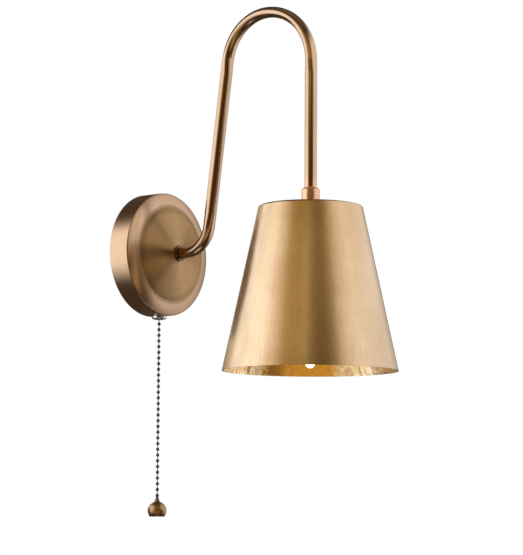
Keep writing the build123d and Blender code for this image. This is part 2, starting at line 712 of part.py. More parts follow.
def lamp_stem():
    """The glass mount that closes the neck and carries the filaments."""
    flare_r = GLASS_NECK_R - GLASS_T
    return on_drop(
        turned(
            Line((0, STEM_FOOT_Z), (flare_r, STEM_FOOT_Z)),
            Line((flare_r, STEM_FOOT_Z), (flare_r, STEM_FOOT_Z - 1)),
            ThreePointArc(
                (flare_r, STEM_FOOT_Z - 1),
                (STEM_R + (flare_r - STEM_R) * 0.25, STEM_FOOT_Z - 4),
                (STEM_R, STEM_FOOT_Z - 9),
            ),
            Line((STEM_R, STEM_FOOT_Z - 9), (STEM_R, STEM_TIP)),
            Line((STEM_R, STEM_TIP), (0, STEM_TIP)),
            Line((0, STEM_TIP), (0, STEM_FOOT_Z)),
        )
    )


def lamp_filaments():
    """Straight filament sticks between two crosses of flat strip, on one post from the stem."""
    upper = STEM_TIP - 3
    lower = upper - FILAMENT_H
    frame = ring(FILAMENT_POST_R, 0, lower, STEM_TIP)
    align = (Align.MIN, Align.CENTER, Align.MIN)
    for i in range(FILAMENT_COUNT):
        turn = Rot(0, 0, (i + 0.5) * 360 / FILAMENT_COUNT)
        for z in (upper, lower):
            strip = Box(FILAMENT_RING_R + FILAMENT_R, FILAMENT_R, FILAMENT_STRIP_T, align=align)
            frame += turn * Pos(0, 0, z) * strip
        stick = ring(FILAMENT_R, 0, lower + FILAMENT_STRIP_T, upper)
        frame += turn * Pos(FILAMENT_RING_R, 0, 0) * stick
    return on_drop(frame)


# ------------------------------------------------------------------ pull switch
RIM_INSIDE = CANOPY_R - CANOPY_WALL
# A flat nut inside the round rim touches it along its two outer edges.
THIN_NUT_LOW = -sqrt(RIM_INSIDE**2 - (THIN_NUT_FLATS / 2) ** 2) + 0.02
THIN_NUT_TOP = THIN_NUT_LOW + THIN_NUT_H
HOUSING_LOW = THIN_NUT_TOP
HOUSING_FLOOR = HOUSING_LOW + SWITCH_WALL
HOUSING_TOP = HOUSING_LOW + SWITCH_H
COVER_LOW = HOUSING_TOP - COVER_T
CHROME_TOP = -CANOPY_R - 0.02
CHROME_LOW = CHROME_TOP - CHROME_NUT_H
NOZZLE_END = CHROME_LOW - NOZZLE_PROUD
SPRING_LENGTH = PULL_TRAVEL + SPRING_TURNS * SPRING_WIRE + SPRING_SPARE
HEAD_LOW = HOUSING_FLOOR + SPRING_LENGTH
HEAD_TOP = HEAD_LOW + PLUNGER_HEAD_H
ROTOR_LOW = HEAD_TOP + LOOSE_GAP
ROTOR_TOP = ROTOR_LOW + ROTOR_H
BAR_LOW = ROTOR_LOW + 3.0
LEAD_HOLE_X = 5.0


def switch_box(inset):
    """The rounded rectangle of the housing, drawn about the nozzle's axis."""
    corner = max(SWITCH_CORNER - inset, 0.5)
    return RectangleRounded(SWITCH_W - 2 * inset, SWITCH_D - 2 * inset, corner)


def switch_housing():
    body = Pos(0, 0, HOUSING_LOW) * extrude(switch_box(0), SWITCH_H - COVER_T)
    body -= Pos(0, 0, HOUSING_FLOOR) * extrude(switch_box(SWITCH_WALL), SWITCH_H)
    return on_nozzle(body - ring(THREAD_OD / 2, 0, HOUSING_LOW - 1, HOUSING_FLOOR + 1))


def switch_cover():
    """The lid: it locates in the housing, carries the rotor's pin and has two lead holes."""
    lid = Pos(0, 0, COVER_LOW) * extrude(switch_box(0), COVER_T)
    lip = Pos(0, 0, COVER_LOW - COVER_LIP) * extrude(switch_box(SWITCH_WALL + 0.1), COVER_LIP)
    lid += lip + ring(ROTOR_PIN_R + 1.2, 0, ROTOR_TOP + LOOSE_GAP, COVER_LOW)
    lid += ring(ROTOR_PIN_R, 0, BAR_LOW, COVER_LOW)
    for side in (-1, 1):
        lid -= Pos(side * LEAD_HOLE_X, 0, 0) * ring(LEAD_R + HOLE_GAP, 0, COVER_LOW - 2, HOUSING_TOP + 1)
    return on_nozzle(lid)


def switch_rotor():
    """A hub that turns on the cover's pin, with the bar that bridges the two contact strips."""
    hub = ring(ROTOR_HUB_R, 0, ROTOR_LOW, ROTOR_TOP)
    bar = Pos(0, 0, BAR_LOW) * extrude(SlotOverall(ROTOR_BAR_L, ROTOR_BAR_W), ROTOR_BAR_H)
    bore = ring(ROTOR_PIN_R + RUNNING_GAP, 0, BAR_LOW - LOOSE_GAP, ROTOR_TOP + 1)
    return on_nozzle(hub + bar - bore)


def switch_contacts():
    """Two sprung strips on the housing's end walls, bowed in at the height of the rotor's bar, each
    with a foot towards its lead."""
    wall_x = SWITCH_W / 2 - SWITCH_WALL
    touch_x = ROTOR_BAR_L / 2 + LOOSE_GAP
    strip_top = COVER_LOW - COVER_LIP
    bow_mid = BAR_LOW + ROTOR_BAR_H / 2
    bow_face = ROTOR_BAR_H / 2 + 0.5  # half the height of the bow's flat crest
    bow_root = bow_face + wall_x - touch_x
    line = [
        (wall_x, strip_top),
        (wall_x, bow_mid + bow_root),
        (touch_x + CONTACT_STRIP_T, bow_mid + bow_face),
        (touch_x + CONTACT_STRIP_T, bow_mid - bow_face),
        (wall_x, bow_mid - bow_root),
    ]
    inner = [(x - CONTACT_STRIP_T, z) for x, z in reversed(line)]
    inner[-1] = (wall_x - CONTACT_STRIP_T, strip_top - CONTACT_STRIP_T)
    foot_x = LEAD_HOLE_X - 1.5
    foot = [(foot_x, strip_top - CONTACT_STRIP_T), (foot_x, strip_top)]
    outline = make_face(Polyline(*line, *inner, *foot, close=True))
    piece = extrude(Plane.XZ * outline, CONTACT_STRIP_W / 2, both=True)
    return on_nozzle(piece), on_nozzle(mirror(piece, Plane.YZ))


def switch_nozzle():
    body = ring(THREAD_OD / 2 - SCREW_GAP, NOZZLE_BORE_R, NOZZLE_END, HOUSING_FLOOR)
    mouth = body.edges().filter_by(GeomType.CIRCLE).group_by(Axis.Z)[0].sort_by(SortBy.RADIUS)[0]
    return on_nozzle(chamfer(mouth, NOZZLE_MOUTH))


def switch_inner_nut():
    return on_nozzle(hex_nut(THIN_NUT_FLATS, THREAD_OD / 2, THIN_NUT_LOW, THIN_NUT_TOP))


def switch_outer_nut():
    body = ring(CHROME_NUT_OD / 2, THREAD_OD / 2, CHROME_LOW, CHROME_TOP)
    foot = body.edges().filter_by(GeomType.CIRCLE).group_by(Axis.Z)[0].sort_by(SortBy.RADIUS)[-1]
    return on_nozzle(fillet(foot, CHROME_NUT_ROUND))


# ------------------------------------------------------------------ chain
FIRST_BEAD = NOZZLE_END - FIRST_BEAD_DROP
BEAD_POLE = sqrt(BEAD_R**2 - BEAD_FLAT_R**2)  # from a bead's centre to its flat pole
LINK_L = BEAD_PITCH - 2 * BEAD_POLE


def bead_z(index):
    """Height of a bead's centre. Bead 0 is the first under the nozzle, bead -1 is inside it."""
    return FIRST_BEAD - index * BEAD_PITCH


def bead(index):
    ball = Sphere(BEAD_R) & ring(BEAD_R + 1, 0, -BEAD_POLE, BEAD_POLE)
    return Pos(0, 0, bead_z(index)) * ball


def link_below(index):
    """The visible shank between a bead and the next one down."""
    top = bead_z(index) - BEAD_POLE
    return ring(LINK_R, 0, top - LINK_L, top)


def pivot_bead(index):
    """A hollow bead with a slot across its lower half, in which the link's round head swings."""
    slot_half = LINK_R + SLOT_GAP
    reach = 2 * BEAD_R
    slot_align = (Align.CENTER, Align.CENTER, Align.MAX)
    slot = Box(2 * slot_half, 2 * slot_half, reach, align=slot_align)
    swing = SWING + 1
    fan_edge = (reach * sin(radians(swing)), -reach * cos(radians(swing)))
    fan = Polyline((0, 0), fan_edge, (0, -reach), (-fan_edge[0], fan_edge[1]), close=True)
    cut = extrude(Plane.XZ * make_face(fan), slot_half, both=True)
    for angle in (-swing, 0, swing):
        cut += Rot(0, angle, 0) * slot
    hollow = bead(index) - Pos(0, 0, bead_z(index)) * Sphere(LINK_HEAD_R + LINK_HEAD_GAP)
    crosswise = 0 if index == 0 else 90
    return hollow - Pos(0, 0, bead_z(index)) * Rot(0, 0, crosswise) * cut


def pivot_link(index):
    """A link whose upper head sits in a pivot bead."""
    foot = bead_z(index + 1) + BEAD_POLE
    return Pos(0, 0, bead_z(index)) * Sphere(LINK_HEAD_R) + ring(LINK_R, 0, foot, bead_z(index))


LAST_BEAD = BEAD_COUNT - 1
CONNECTOR_TOP = bead_z(LAST_BEAD) - BEAD_POLE
PULL_TOP = CONNECTOR_TOP - CONNECTOR_H
PULL_CENTRE = PULL_TOP - sqrt(PULL_R**2 - CONNECTOR_FOOT_R**2)


def ball_connector():
    neck_h = CONNECTOR_H * 0.3
    return turned_outline(
        (0, CONNECTOR_TOP),
        (CONNECTOR_TOP_R, CONNECTOR_TOP),
        (CONNECTOR_TOP_R, CONNECTOR_TOP - neck_h),
        (CONNECTOR_FOOT_R, PULL_TOP + 0.6),
        (CONNECTOR_FOOT_R, PULL_TOP),
        (0, PULL_TOP),
    )


def pull_ball():
    """A turned ball with a flat for the connector, cut flat and bored from below."""
    ball = Sphere(PULL_R) & ring(PULL_R + 1, 0, -PULL_CUT, PULL_TOP - PULL_CENTRE)
    ball -= ring(PULL_BORE_R, 0, -PULL_CUT - 1, -PULL_CUT + PULL_BORE_H)
    return Pos(0, 0, PULL_CENTRE) * ball


def switch_plunger():
    """The head that squeezes the spring, and the stem that the chain is linked to."""
    stem_low = bead_z(-1) + BEAD_POLE + LINK_L
    head = ring(PLUNGER_HEAD_R, 0, HEAD_LOW, HEAD_TOP)
    return on_nozzle(head + ring(PLUNGER_STEM_R, 0, stem_low, HEAD_LOW))


def nozzle_chain():
    """The bead that stays inside the nozzle, and the links above and below it."""
    stem_low = bead_z(-1) + BEAD_POLE + LINK_L
    upper = ring(LINK_R, 0, stem_low - LINK_L, stem_low)
    return [on_nozzle(piece) for piece in (upper, bead(-1), link_below(-1))]


def switch_return_spring():
    """One unbroken coil between the nozzle's top face and the plunger's head."""
    coil_r = (SPRING_OD - SPRING_WIRE) / 2
    low = HOUSING_FLOOR + SPRING_WIRE / 2
    rise = (SPRING_LENGTH - SPRING_WIRE) / SPRING_TURNS

    def at(turns):
        angle = 2 * pi * turns
        return (coil_r * cos(angle), coil_r * sin(angle), low + rise * turns)

    steps = SPRING_TURNS * 4
    arcs = [ThreePointArc(at(i / 4), at((i + 0.5) / 4), at((i + 1) / 4)) for i in range(steps)]
    path = Wire([arc.edge() for arc in arcs])
    start = Plane(origin=at(0), z_dir=path % 0)
    print("least gap between the spring's turns", round(rise - SPRING_WIRE, 2))
    return on_nozzle(sweep(start * Circle(SPRING_WIRE / 2), path))


# ------------------------------------------------------------------ leads inside the canopy
def core_place(angle):
    """Where a core leaves the end of the flex, as x and z."""
    return CORE_R * cos(radians(angle)), CORE_R * sin(radians(angle))


def lead(*points):
    """A single insulated lead along straight runs with rounded corners."""
    path = FilletPolyline(*points, radius=LEAD_BEND)
    start = Plane(origin=points[0], z_dir=path % 0)
    return sweep(start * Circle(LEAD_R), path)


def core_run(angle, out):
    """The two points on which a lead meets the flex's end face squarely."""
    x, z = core_place(angle)
    return (x, -out, z), (x, -FLEX_BACK, z)


BLOCK_LOW = BLOCK_MID_Z - BLOCK_H / 2
LEAD_TOP = BLOCK_LOW + 5.0
SWITCH_LEAD_END = COVER_LOW + 0.2


def live_lead():
    x = POLE_XS[0]
    return lead(
        (x, WIRE_Y, LEAD_TOP),
        (x, WIRE_Y, BLOCK_LOW - 10),
        (-9.0, -17.0, -6.0),
        (-LEAD_HOLE_X, -SWITCH_OUT, HOUSING_TOP + 9),
        (-LEAD_HOLE_X, -SWITCH_OUT, SWITCH_LEAD_END),
    )


def switched_lead():
    return lead(
        (LEAD_HOLE_X, -SWITCH_OUT, SWITCH_LEAD_END),
        (LEAD_HOLE_X, -SWITCH_OUT, HOUSING_TOP + 12),
        *core_run(-30, 17.0),
    )


def neutral_lead():
    x = POLE_XS[-1]
    return lead(
        (x, WIRE_Y, LEAD_TOP),
        (x, WIRE_Y, BLOCK_LOW - 8),
        *core_run(90, 15.0),
    )


def earth_lead():
    rim = EARTH_WASHER_R
    out = STRAP_T + LEAD_R + LOOSE_GAP
    end, near = core_run(210, 17.0)[::-1]
    return lead(
        end,
        near,
        (-8.0, -9.0, -15.0),
        (EARTH_X + 6, -out - 1.0, -STRAP_W / 2 - 3),
        (EARTH_X, -out, -STRAP_W / 2),
        (EARTH_X, -out, -rim),
    )


# ------------------------------------------------------------------ write every node
os.makedirs("parts", exist_ok=True)

save("wall_bracket", wall_bracket())
save("earth_screw", *earth_screw())
save("terminal_block", terminal_block())
save("terminal_screws", *terminal_screws())
save("terminal_block_screw", terminal_block_screw())
save("canopy", canopy())
save("canopy_side_screw", canopy_side_screw())
save("canopy_locating_pin", canopy_locating_pin())

save("arm_base_ring", arm_base_ring())
save("arm_tube", arm_tube())
save("arm_root_nipple", arm_root_nipple())
save("arm_lock_washer", arm_lock_washer())
save("arm_nut", arm_nut())
save("arm_flex", arm_solid(FLEX_R, 1, 1, FLEX_BACK, FLEX_END))
save("live_lead", live_lead())
save("neutral_lead", neutral_lead())
save("switched_lead", switched_lead())
save("earth_lead", earth_lead())

save("tube_end_ring", tube_end_ring())
save("shade_collar", shade_collar())
save("holder_nipple", holder_nipple())
save("shade_nut", shade_nut())
save("shade", shade())
save("gold_leaf_lining", gold_leaf_lining())
save("lampholder_cap", lampholder_cap())
save("lampholder_body", lampholder_body())
save("lampholder_screw_shell", lampholder_screw_shell())
save("lampholder_centre_contact", lampholder_centre_contact())
save("lamp_cap", lamp_cap())
save("lamp_glass", lamp_glass())
save("lamp_stem", lamp_stem())
save("lamp_filaments", lamp_filaments())

save("switch_housing", switch_housing())
save("switch_cover", switch_cover())
save("switch_contacts", *switch_contacts())
save("switch_nozzle", switch_nozzle())
save("switch_inner_nut", switch_inner_nut())
save("switch_outer_nut", switch_outer_nut())
save("switch_rotor", switch_rotor())
save("switch_plunger", switch_plunger())
save("switch_return_spring", switch_return_spring())

save("nozzle_chain", *nozzle_chain())
save("pivot_bead_upper", on_nozzle(pivot_bead(0)))
save("swivel_link", on_nozzle(pivot_link(0)))
save("pivot_bead_lower", on_nozzle(pivot_bead(1)))
shanks = [link_below(i) for i in range(2, LAST_BEAD)]
save("chain_links", *[on_nozzle(shank) for shank in [pivot_link(1), *shanks]])
save("chain_beads", *[on_nozzle(bead(i)) for i in range(2, BEAD_COUNT)])
save("ball_connector", on_nozzle(ball_connector()))
save("pull_ball", on_nozzle(pull_ball()))
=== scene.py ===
"""Pull-chain wall light: finishes, turned and threaded pieces, gold leaf and the studio.

Metres throughout. The wall is the plane Y = 0, the light reaches out along -Y and +Z is up.
"""

import json
from math import atan, ceil, cos, pi, radians, sin

import bpy
from bpy.props import FloatProperty, FloatVectorProperty, IntProperty, PointerProperty
from mathutils import Matrix, Vector, noise


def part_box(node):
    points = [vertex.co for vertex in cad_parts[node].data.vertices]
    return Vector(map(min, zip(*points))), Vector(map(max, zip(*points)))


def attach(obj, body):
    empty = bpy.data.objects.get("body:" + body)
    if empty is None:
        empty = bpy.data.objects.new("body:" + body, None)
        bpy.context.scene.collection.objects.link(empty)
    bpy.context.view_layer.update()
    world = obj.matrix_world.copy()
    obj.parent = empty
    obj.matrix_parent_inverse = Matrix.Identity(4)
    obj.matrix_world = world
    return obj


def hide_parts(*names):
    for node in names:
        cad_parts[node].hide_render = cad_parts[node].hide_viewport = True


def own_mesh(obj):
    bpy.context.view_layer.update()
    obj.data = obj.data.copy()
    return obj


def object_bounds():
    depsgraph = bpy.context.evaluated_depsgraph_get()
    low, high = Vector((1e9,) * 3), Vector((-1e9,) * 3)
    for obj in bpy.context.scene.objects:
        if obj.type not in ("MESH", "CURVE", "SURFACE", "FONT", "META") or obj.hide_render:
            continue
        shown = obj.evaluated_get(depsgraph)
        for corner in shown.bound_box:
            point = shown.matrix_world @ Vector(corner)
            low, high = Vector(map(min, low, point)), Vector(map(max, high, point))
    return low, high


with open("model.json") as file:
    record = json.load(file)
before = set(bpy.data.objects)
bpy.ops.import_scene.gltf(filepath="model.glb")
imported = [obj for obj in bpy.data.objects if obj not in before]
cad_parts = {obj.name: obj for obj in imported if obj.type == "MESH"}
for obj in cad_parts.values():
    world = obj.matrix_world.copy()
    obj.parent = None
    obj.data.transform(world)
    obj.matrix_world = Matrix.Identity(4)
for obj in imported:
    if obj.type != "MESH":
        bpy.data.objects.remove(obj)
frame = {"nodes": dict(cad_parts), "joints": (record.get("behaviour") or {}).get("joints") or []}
cad_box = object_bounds()

bl_info = {
    "name": "Pull-chain wall light",
    "version": (1, 0, 0),
    "blender": (4, 5, 0),
    "location": "3D View > Sidebar > Wall Light",
    "description": "Finishes a wall light with a cone shade, a swan-neck arm and a pull chain",
    "category": "Add Mesh",
}

MM = 0.001
PHOTO_WIDTH, PHOTO_HEIGHT = 523, 555
FULL_TURN = 2 * pi
SHARP_ANGLE = radians(35.0)  # faces that meet at more than this keep a sharp edge
ON_AXIS = 1e-7  # a point of an outline that is nearer to its axis lies on it
M10_HOLE_R = 5.25 * MM
SIDE_SCREW_HOLE_R = 2.25 * MM
NIPPLE_BORE_R, NOZZLE_BORE_R = 3.6 * MM, 2.75 * MM
CONE_SLOPE = (85.0 - 50.5) / 159.5  # what the shade's radius gains for its height
CARD_DISTANCE, CARD_STEP = 1.2, 6  # metres, and degrees from row to row
FLOOR_RADIUS, FLOOR_NEAR = 4.0, 0.6
FLOOR_LIFT, FLOOR_FAR_LIFT = 0.56, 0.74  # near and far, white once the lamps' share is added


# What polished metal shows, from the back left round to the back: each card's place, the azimuth
# that it ends at, counted from the camera's, its level, and how warm its light is, from 0 to 1.
SURROUND = (
    ("left_edge1", -131, 0.90, 0.70),
    ("left_edge2", -100, 1.90, 0.12),
    ("left1", -68, 2.10, 0.12),
    ("left2", -56, 1.60, 0.35),
    ("left3", -45, 1.25, 0.55),
    ("front1", -35, 0.85, 0.95),
    ("front2", -15, 0.82, 1.00),
    ("front3", -4, 1.00, 0.75),
    ("dark1", 5, 0.58, 0.95),
    ("dark2", 26, 0.38, 0.95),
    ("dark3", 36, 0.80, 0.85),
    ("right1", 46, 1.20, 0.50),
    ("right2", 58, 1.45, 0.30),
    ("right3", 80, 1.65, 0.20),
    ("far_right1", 112, 1.50, 0.18),
    ("far_right2", 132, 1.45, 0.25),
    ("far_right3", 150, 0.95, 0.45),
    ("back", 195, 0.10, 0.80),
)


# ---------------------------------------------------------------- sizes and colours a user may set
def length(name, description, default, most=1.0):
    return FloatProperty(
        name=name, description=description, default=default, min=0.0, max=most,
        unit="LENGTH", precision=5,
    )


def number(name, description, default):
    return FloatProperty(name=name, description=description, default=default)


def colour(name, description, default):
    return FloatVectorProperty(
        name=name, description=description, default=default, subtype="COLOR", size=3,
        min=0.0, max=1.0,
    )


class WallLightSizes(bpy.types.PropertyGroup):
    rim_depth: length("Rim depth", "From the wall to the canopy's outer corner", 23.0 * MM)
    canopy_wall: length("Canopy wall", "Thickness of the spun dish", 1.0 * MM)
    band_width: length("Band width", "Radial width of the raised band", 14.0 * MM)
    band_rise: length("Band rise", "How far the band rises towards its crease", 4.5 * MM)
    crease_width: length("Crease width", "Radial width of the soft crease", 1.8 * MM)
    crease_rise: length("Crease rise", "How far the dome's foot stands above the band", 0.6 * MM)
    dome_bulge: length("Dome bulge", "How far the dome stands proud of a straight cone", 2.1 * MM)
    land_radius: length("Land radius", "Flat in the middle of the dome", 10.0 * MM)
    corner_radius: length("Corner radius", "Rounding of the rim's corner", 0.9 * MM)
    thread_pitch: length("Thread pitch", "Pitch of the M10 thread", 1.0 * MM)
    lamp_pitch: length("Lamp pitch", "Pitch of the lamp cap's rolled thread", 2.8 * MM)
    leaf_sheet: length("Leaf sheet", "Size of one torn piece of gold leaf", 42.0 * MM)
    leaf_thickness: length("Leaf relief", "Height of the leaf's folds and laps", 0.12 * MM)
    brush_line: length("Brush line", "Width of one line of the brushing", 0.8 * MM)
    turns: IntProperty(
        name="Segments", description="Segments round a turned piece", default=256, min=32, max=720
    )


class WallLightColours(bpy.types.PropertyGroup):
    brass: colour("Antique brass", "Shade, brushed", (0.555, 0.405, 0.24))
    brass_stain: colour("Brass stain", "Darker clouds in the brass", (0.42, 0.26, 0.11))
    canopy: colour("Canopy brass", "Canopy, satin", (0.47, 0.315, 0.19))
    dome: colour("Dome brass", "Canopy's dome, brushed", (0.46, 0.28, 0.115))
    canopy_stain: colour("Canopy stain", "Darker clouds on the canopy", (0.33, 0.18, 0.08))
    tube: colour("Tube brass", "Arm, polished and lacquered", (0.43, 0.29, 0.17))
    copper: colour("Copper brass", "Collar and end ring", (0.68, 0.38, 0.19))
    pull: colour("Pull brass", "Turned pull on the chain", (0.34, 0.20, 0.08))
    leaf: colour("Gold leaf", "Laid leaf", (0.86, 0.42, 0.035))
    leaf_pale: colour("Pale leaf", "Leaf that catches the light", (1.0, 0.86, 0.56))
    bole: colour("Bole", "Ground that shows between sheets of leaf", (0.40, 0.17, 0.04))
    bronze: colour("Bronze", "Chain", (0.19, 0.15, 0.115))
    nickel: colour("Nickel", "Switch nozzle and nut", (0.52, 0.52, 0.51))
    zinc: colour("Zinc", "Bracket and inner fasteners", (0.60, 0.61, 0.62))
    bare_brass: colour("Bare brass", "Contacts and terminal screws", (0.78, 0.60, 0.27))
    opal: colour("Opal glass", "The lamp's glass", (0.93, 0.90, 0.84))
    glow: colour("Glow", "Light of the lamp", (1.0, 0.84, 0.44))


class WallLightStudio(bpy.types.PropertyGroup):
    azimuth: number("Azimuth", "Camera azimuth, degrees", -49.19)
    elevation: number("Elevation", "Camera elevation, degrees", -6.93)
    distance: length("Distance", "From the frame's origin to the camera", 2.2277, 10.0)
    roll: number("Roll", "Camera roll, degrees", 0.67)
    focal: number("Focal length", "In pixels of the photo", 2171.5)
    origin_x: number("Origin X", "Pixel column of the origin", 150.26)
    origin_y: number("Origin Y", "Pixel row of the origin", 257.41)
    floor_drop: length("Floor drop", "From the lowest point down to the floor", 1.0, 5.0)
    softbox: number("Softbox level", "Radiance of the soft boxes", 1.7)
    ambient: number("Ambient level", "Light from the surroundings", 0.62)


# ---------------------------------------------------------------- shader maths
class Wire:
    """A node's output, reckoned with as a number."""

    def __init__(self, finish, socket):
        self.finish, self.socket = finish, socket

    def math(self, operation, *others):
        settings = {"operation": operation}
        sockets = dict(zip(("Value", "Value_001"), (self, *others)))
        return self.finish.value("Math", settings, sockets)

    def __add__(self, other):
        return self.math("ADD", other)

    def __sub__(self, other):
        return self.math("SUBTRACT", other)

    def __mul__(self, other):
        return self.math("MULTIPLY", other)

    def __truediv__(self, other):
        return self.math("DIVIDE", other)

    __radd__, __rmul__ = __add__, __mul__

    def __rsub__(self, other):
        values = {"Value": other, "Value_001": self}
        return self.finish.value("Math", {"operation": "SUBTRACT"}, values)

    def __abs__(self):
        return self.math("ABSOLUTE")

    def clamp(self):
        return self.math("MAXIMUM", 0.0).math("MINIMUM", 1.0)

    def step(self, low, high):
        """0 below low, 1 above high, smooth between them."""
        ranges = {"From Min": low, "From Max": high, "Value": self}
        return self.finish.value("MapRange", {"interpolation_type": "SMOOTHSTEP"}, ranges, "Result")


class Finish:
    """The node tree of a new material, or of a new world."""

    def __init__(self, name, kind="materials"):
        self.material = getattr(bpy.data, kind).new(name)
        self.material.use_nodes = True
        self.tree = self.material.node_tree
        self.tree.nodes.clear()

    def node(self, kind, settings=None, sockets=None):
        """Adds a node: its settings first, then the value or the link of each socket."""
        node = self.tree.nodes.new("ShaderNode" + kind)
        for name, setting in (settings or {}).items():
            setattr(node, name, setting)
        for name, given in (sockets or {}).items():
            socket = self.pick(node.inputs, name)
            if isinstance(given, Wire):
                self.tree.links.new(given.socket, socket)
            else:
                socket.default_value = given
        return node

    @staticmethod
    def pick(sockets, name):
        """The socket with that identifier or, failing that, that name."""
        exact = [s for s in sockets if s.identifier == name]
        return (exact or [s for s in sockets if s.name == name])[0]

    def value(self, kind, settings=None, sockets=None, output=0):
        node = self.node(kind, settings, sockets)
        socket = node.outputs[output] if isinstance(output, int) else self.pick(node.outputs, output)
        return Wire(self, socket)

    def place(self):
        """Position in the frame, in metres. A turned piece has its own axis as Z."""
        return self.value("TexCoord", output="Object")

    def vector(self, operation, *values):
        sockets = dict(zip(("Vector", "Vector_001", "Vector_002"), values))
        output = "Value" if operation in ("LENGTH", "DOT_PRODUCT") else "Vector"
        return self.value("VectorMath", {"operation": operation}, sockets, output)

    def split(self, vector):
        node = self.node("SeparateXYZ", None, {"Vector": vector})
        return [Wire(self, socket) for socket in node.outputs]

    def join(self, x, y, z):
        return self.value("CombineXYZ", None, {"X": x, "Y": y, "Z": z})

    def noise(self, vector, scale, detail=2.0, roughness=0.5, distortion=0.0, output="Fac"):
        sockets = {
            "Vector": vector, "Scale": scale, "Detail": detail, "Roughness": roughness,
            "Distortion": distortion,
        }
        return self.value("TexNoise", {"noise_dimensions": "3D"}, sockets, output)

    def cells(self, vector, scale, feature="F1", output="Distance"):
        sockets = {"Vector": vector, "Scale": scale}
        return self.value("TexVoronoi", {"feature": feature}, sockets, output)

    def mix(self, share, first, second):
        settings = {"data_type": "RGBA", "blend_type": "MIX", "clamp_factor": True}
        colours = [rgba(c) if not isinstance(c, Wire) else c for c in (first, second)]
        sockets = {"Factor_Float": share, "A_Color": colours[0], "B_Color": colours[1]}
        return self.value("Mix", settings, sockets, "Result_Color")

    def bump(self, height, depth, strength):
        sockets = {"Height": height, "Distance": depth, "Strength": strength}
        return self.value("Bump", None, sockets, "Normal")

    def shader(self, **sockets):
        """The surface, with Principled sockets named as words_with_underscores."""
        names = {key.replace("_", " ").title(): given for key, given in sockets.items()}
        surface = self.value("BsdfPrincipled", None, names, "BSDF")
        self.node("OutputMaterial", None, {"Surface": surface})
        return self.material

    def about_axis(self, centre):
        """Radius, and the direction from an upright axis through centre, and height."""
        x, y, z = self.split(self.vector("SUBTRACT", self.place(), centre))
        radius = (x * x + y * y).math("SQRT")
        safe = radius.math("MAXIMUM", 0.01 * MM)  # keeps the division off zero
        return radius, x / safe, y / safe, z


def rgba(values):
    """A colour with its alpha."""
    return (*values[:3], 1.0)


def darker(values, share):
    return [c * share for c in values]


# ---------------------------------------------------------------- metals
def patina(finish, position, light, stain, share=0.55):
    """Soft clouds of stain, a few centimetres across, with finer mottling inside them."""
    clouds = finish.noise(position, 26.0, detail=4.0, roughness=0.55)
    mottling = finish.noise(position, 230.0, detail=3.0, roughness=0.6)
    cover = (clouds.step(0.35, 0.72) * 0.75 + mottling.step(0.4, 0.8) * 0.25) * share
    return finish.mix(cover, light, stain), clouds


def brushing(finish, ux, uy, across, along, finer_across, finer_along):
    """Lines from 0 to 1 with finer ones in them, by how fast each changes round the piece's
    axis and along it."""
    coarse = finish.noise(finish.join(ux * across, uy * across, along), 1.0, roughness=0.6)
    fine_across = across * finer_across
    place = finish.join(ux * fine_across, uy * fine_across, along * finer_along)
    return coarse * 0.6 + finish.noise(place, 1.0, detail=1.0) * 0.4


def shade_brass(colours, sizes, centre, top_z):
    """Antique brass, brushed from top to bottom, darker in clouds towards its top, with painted shade
    over its top face and edge.
    """
    finish = Finish("shade_brass")
    position = finish.place()
    _, ux, uy, z = finish.about_axis(centre)
    mean_radius, run = 65.0 * MM, 30.0 * MM
    lines = brushing(finish, ux, uy, mean_radius / sizes.brush_line, z / run, 3.1, 2.5)
    base, clouds = patina(finish, position, colours.brass, colours.brass_stain)
    # painted shade: the top face and its edge are darkened, so the top edge reads as a dark line
    painted_shade_top = (z - top_z).step(-1.2 * MM, -0.2 * MM)
    # darker in clouds over the top few centimetres
    clouded_top = (z - top_z).step(-70 * MM, -15 * MM) * clouds.step(0.25, 0.6)
    tint = finish.mix(lines.step(0.3, 0.7) * 0.40, base, colours.brass_stain)
    tint = finish.mix(painted_shade_top * 0.35 + clouded_top * 0.45, tint, colours.brass_stain)
    scratch = 0.012 * MM
    return finish.shader(
        base_color=tint, metallic=1.0, roughness=0.10 + lines * 0.22 + clouds * 0.07,
        anisotropic=0.5, coat_weight=0.45, coat_roughness=0.2,
        normal=finish.bump(lines, scratch, 0.6),
    )


def canopy_brass(colours, sizes, name, tint, brushed, rough, painted_shade_rings=()):
    """Spun brass with circular brushing about the dish's own axis. Painted shade darkens it in
    rings, each (radius, reach inward, reach outward, share)."""
    finish = Finish(name)
    position = finish.place()
    radius, ux, uy, z = finish.about_axis((0.0, 0.0, 0.0))
    depth = (radius + z) / sizes.brush_line
    lines = brushing(finish, ux, uy, 0.9, depth, 2.2 / 0.9, 2.7)
    base, clouds = patina(finish, position, tint, colours.canopy_stain, 0.45)
    tint = finish.mix(lines.step(0.25, 0.75) * (0.12 + 0.25 * brushed), base, colours.canopy_stain)
    # painted shade: each ring mixes in a darker stain
    for ring_radius, inward, outward, share in painted_shade_rings:
        inside = radius.step(ring_radius - inward, ring_radius)
        outside = 1.0 - radius.step(ring_radius, ring_radius + outward)
        tint = finish.mix(inside * outside * share, tint, darker(colours.canopy_stain, 0.35))
    return finish.shader(
        base_color=tint, metallic=1.0, roughness=rough + lines * 0.12 + clouds * 0.06,
        anisotropic=brushed, anisotropic_rotation=0.25, coat_weight=0.12, coat_roughness=0.25,
        normal=finish.bump(lines, 0.02 * MM, 0.5 + 0.4 * brushed),
    )


def polished_brass(name, tint, stain, rough=0.17, metallic=1.0, cover=0.35):
    """Polished, lacquered brass: faint clouds, fine hairlines and a clear coat."""
    finish = Finish(name)
    position = finish.place()
    base, clouds = patina(finish, position, tint, stain, cover)
    hair = finish.noise(position, 2200.0, roughness=0.6)
    return finish.shader(
        base_color=base, metallic=metallic, roughness=rough + clouds * 0.06 + hair * 0.05,
        coat_weight=0.4, coat_roughness=0.12,
        normal=finish.bump(hair, 0.004 * MM, 0.2),
    )


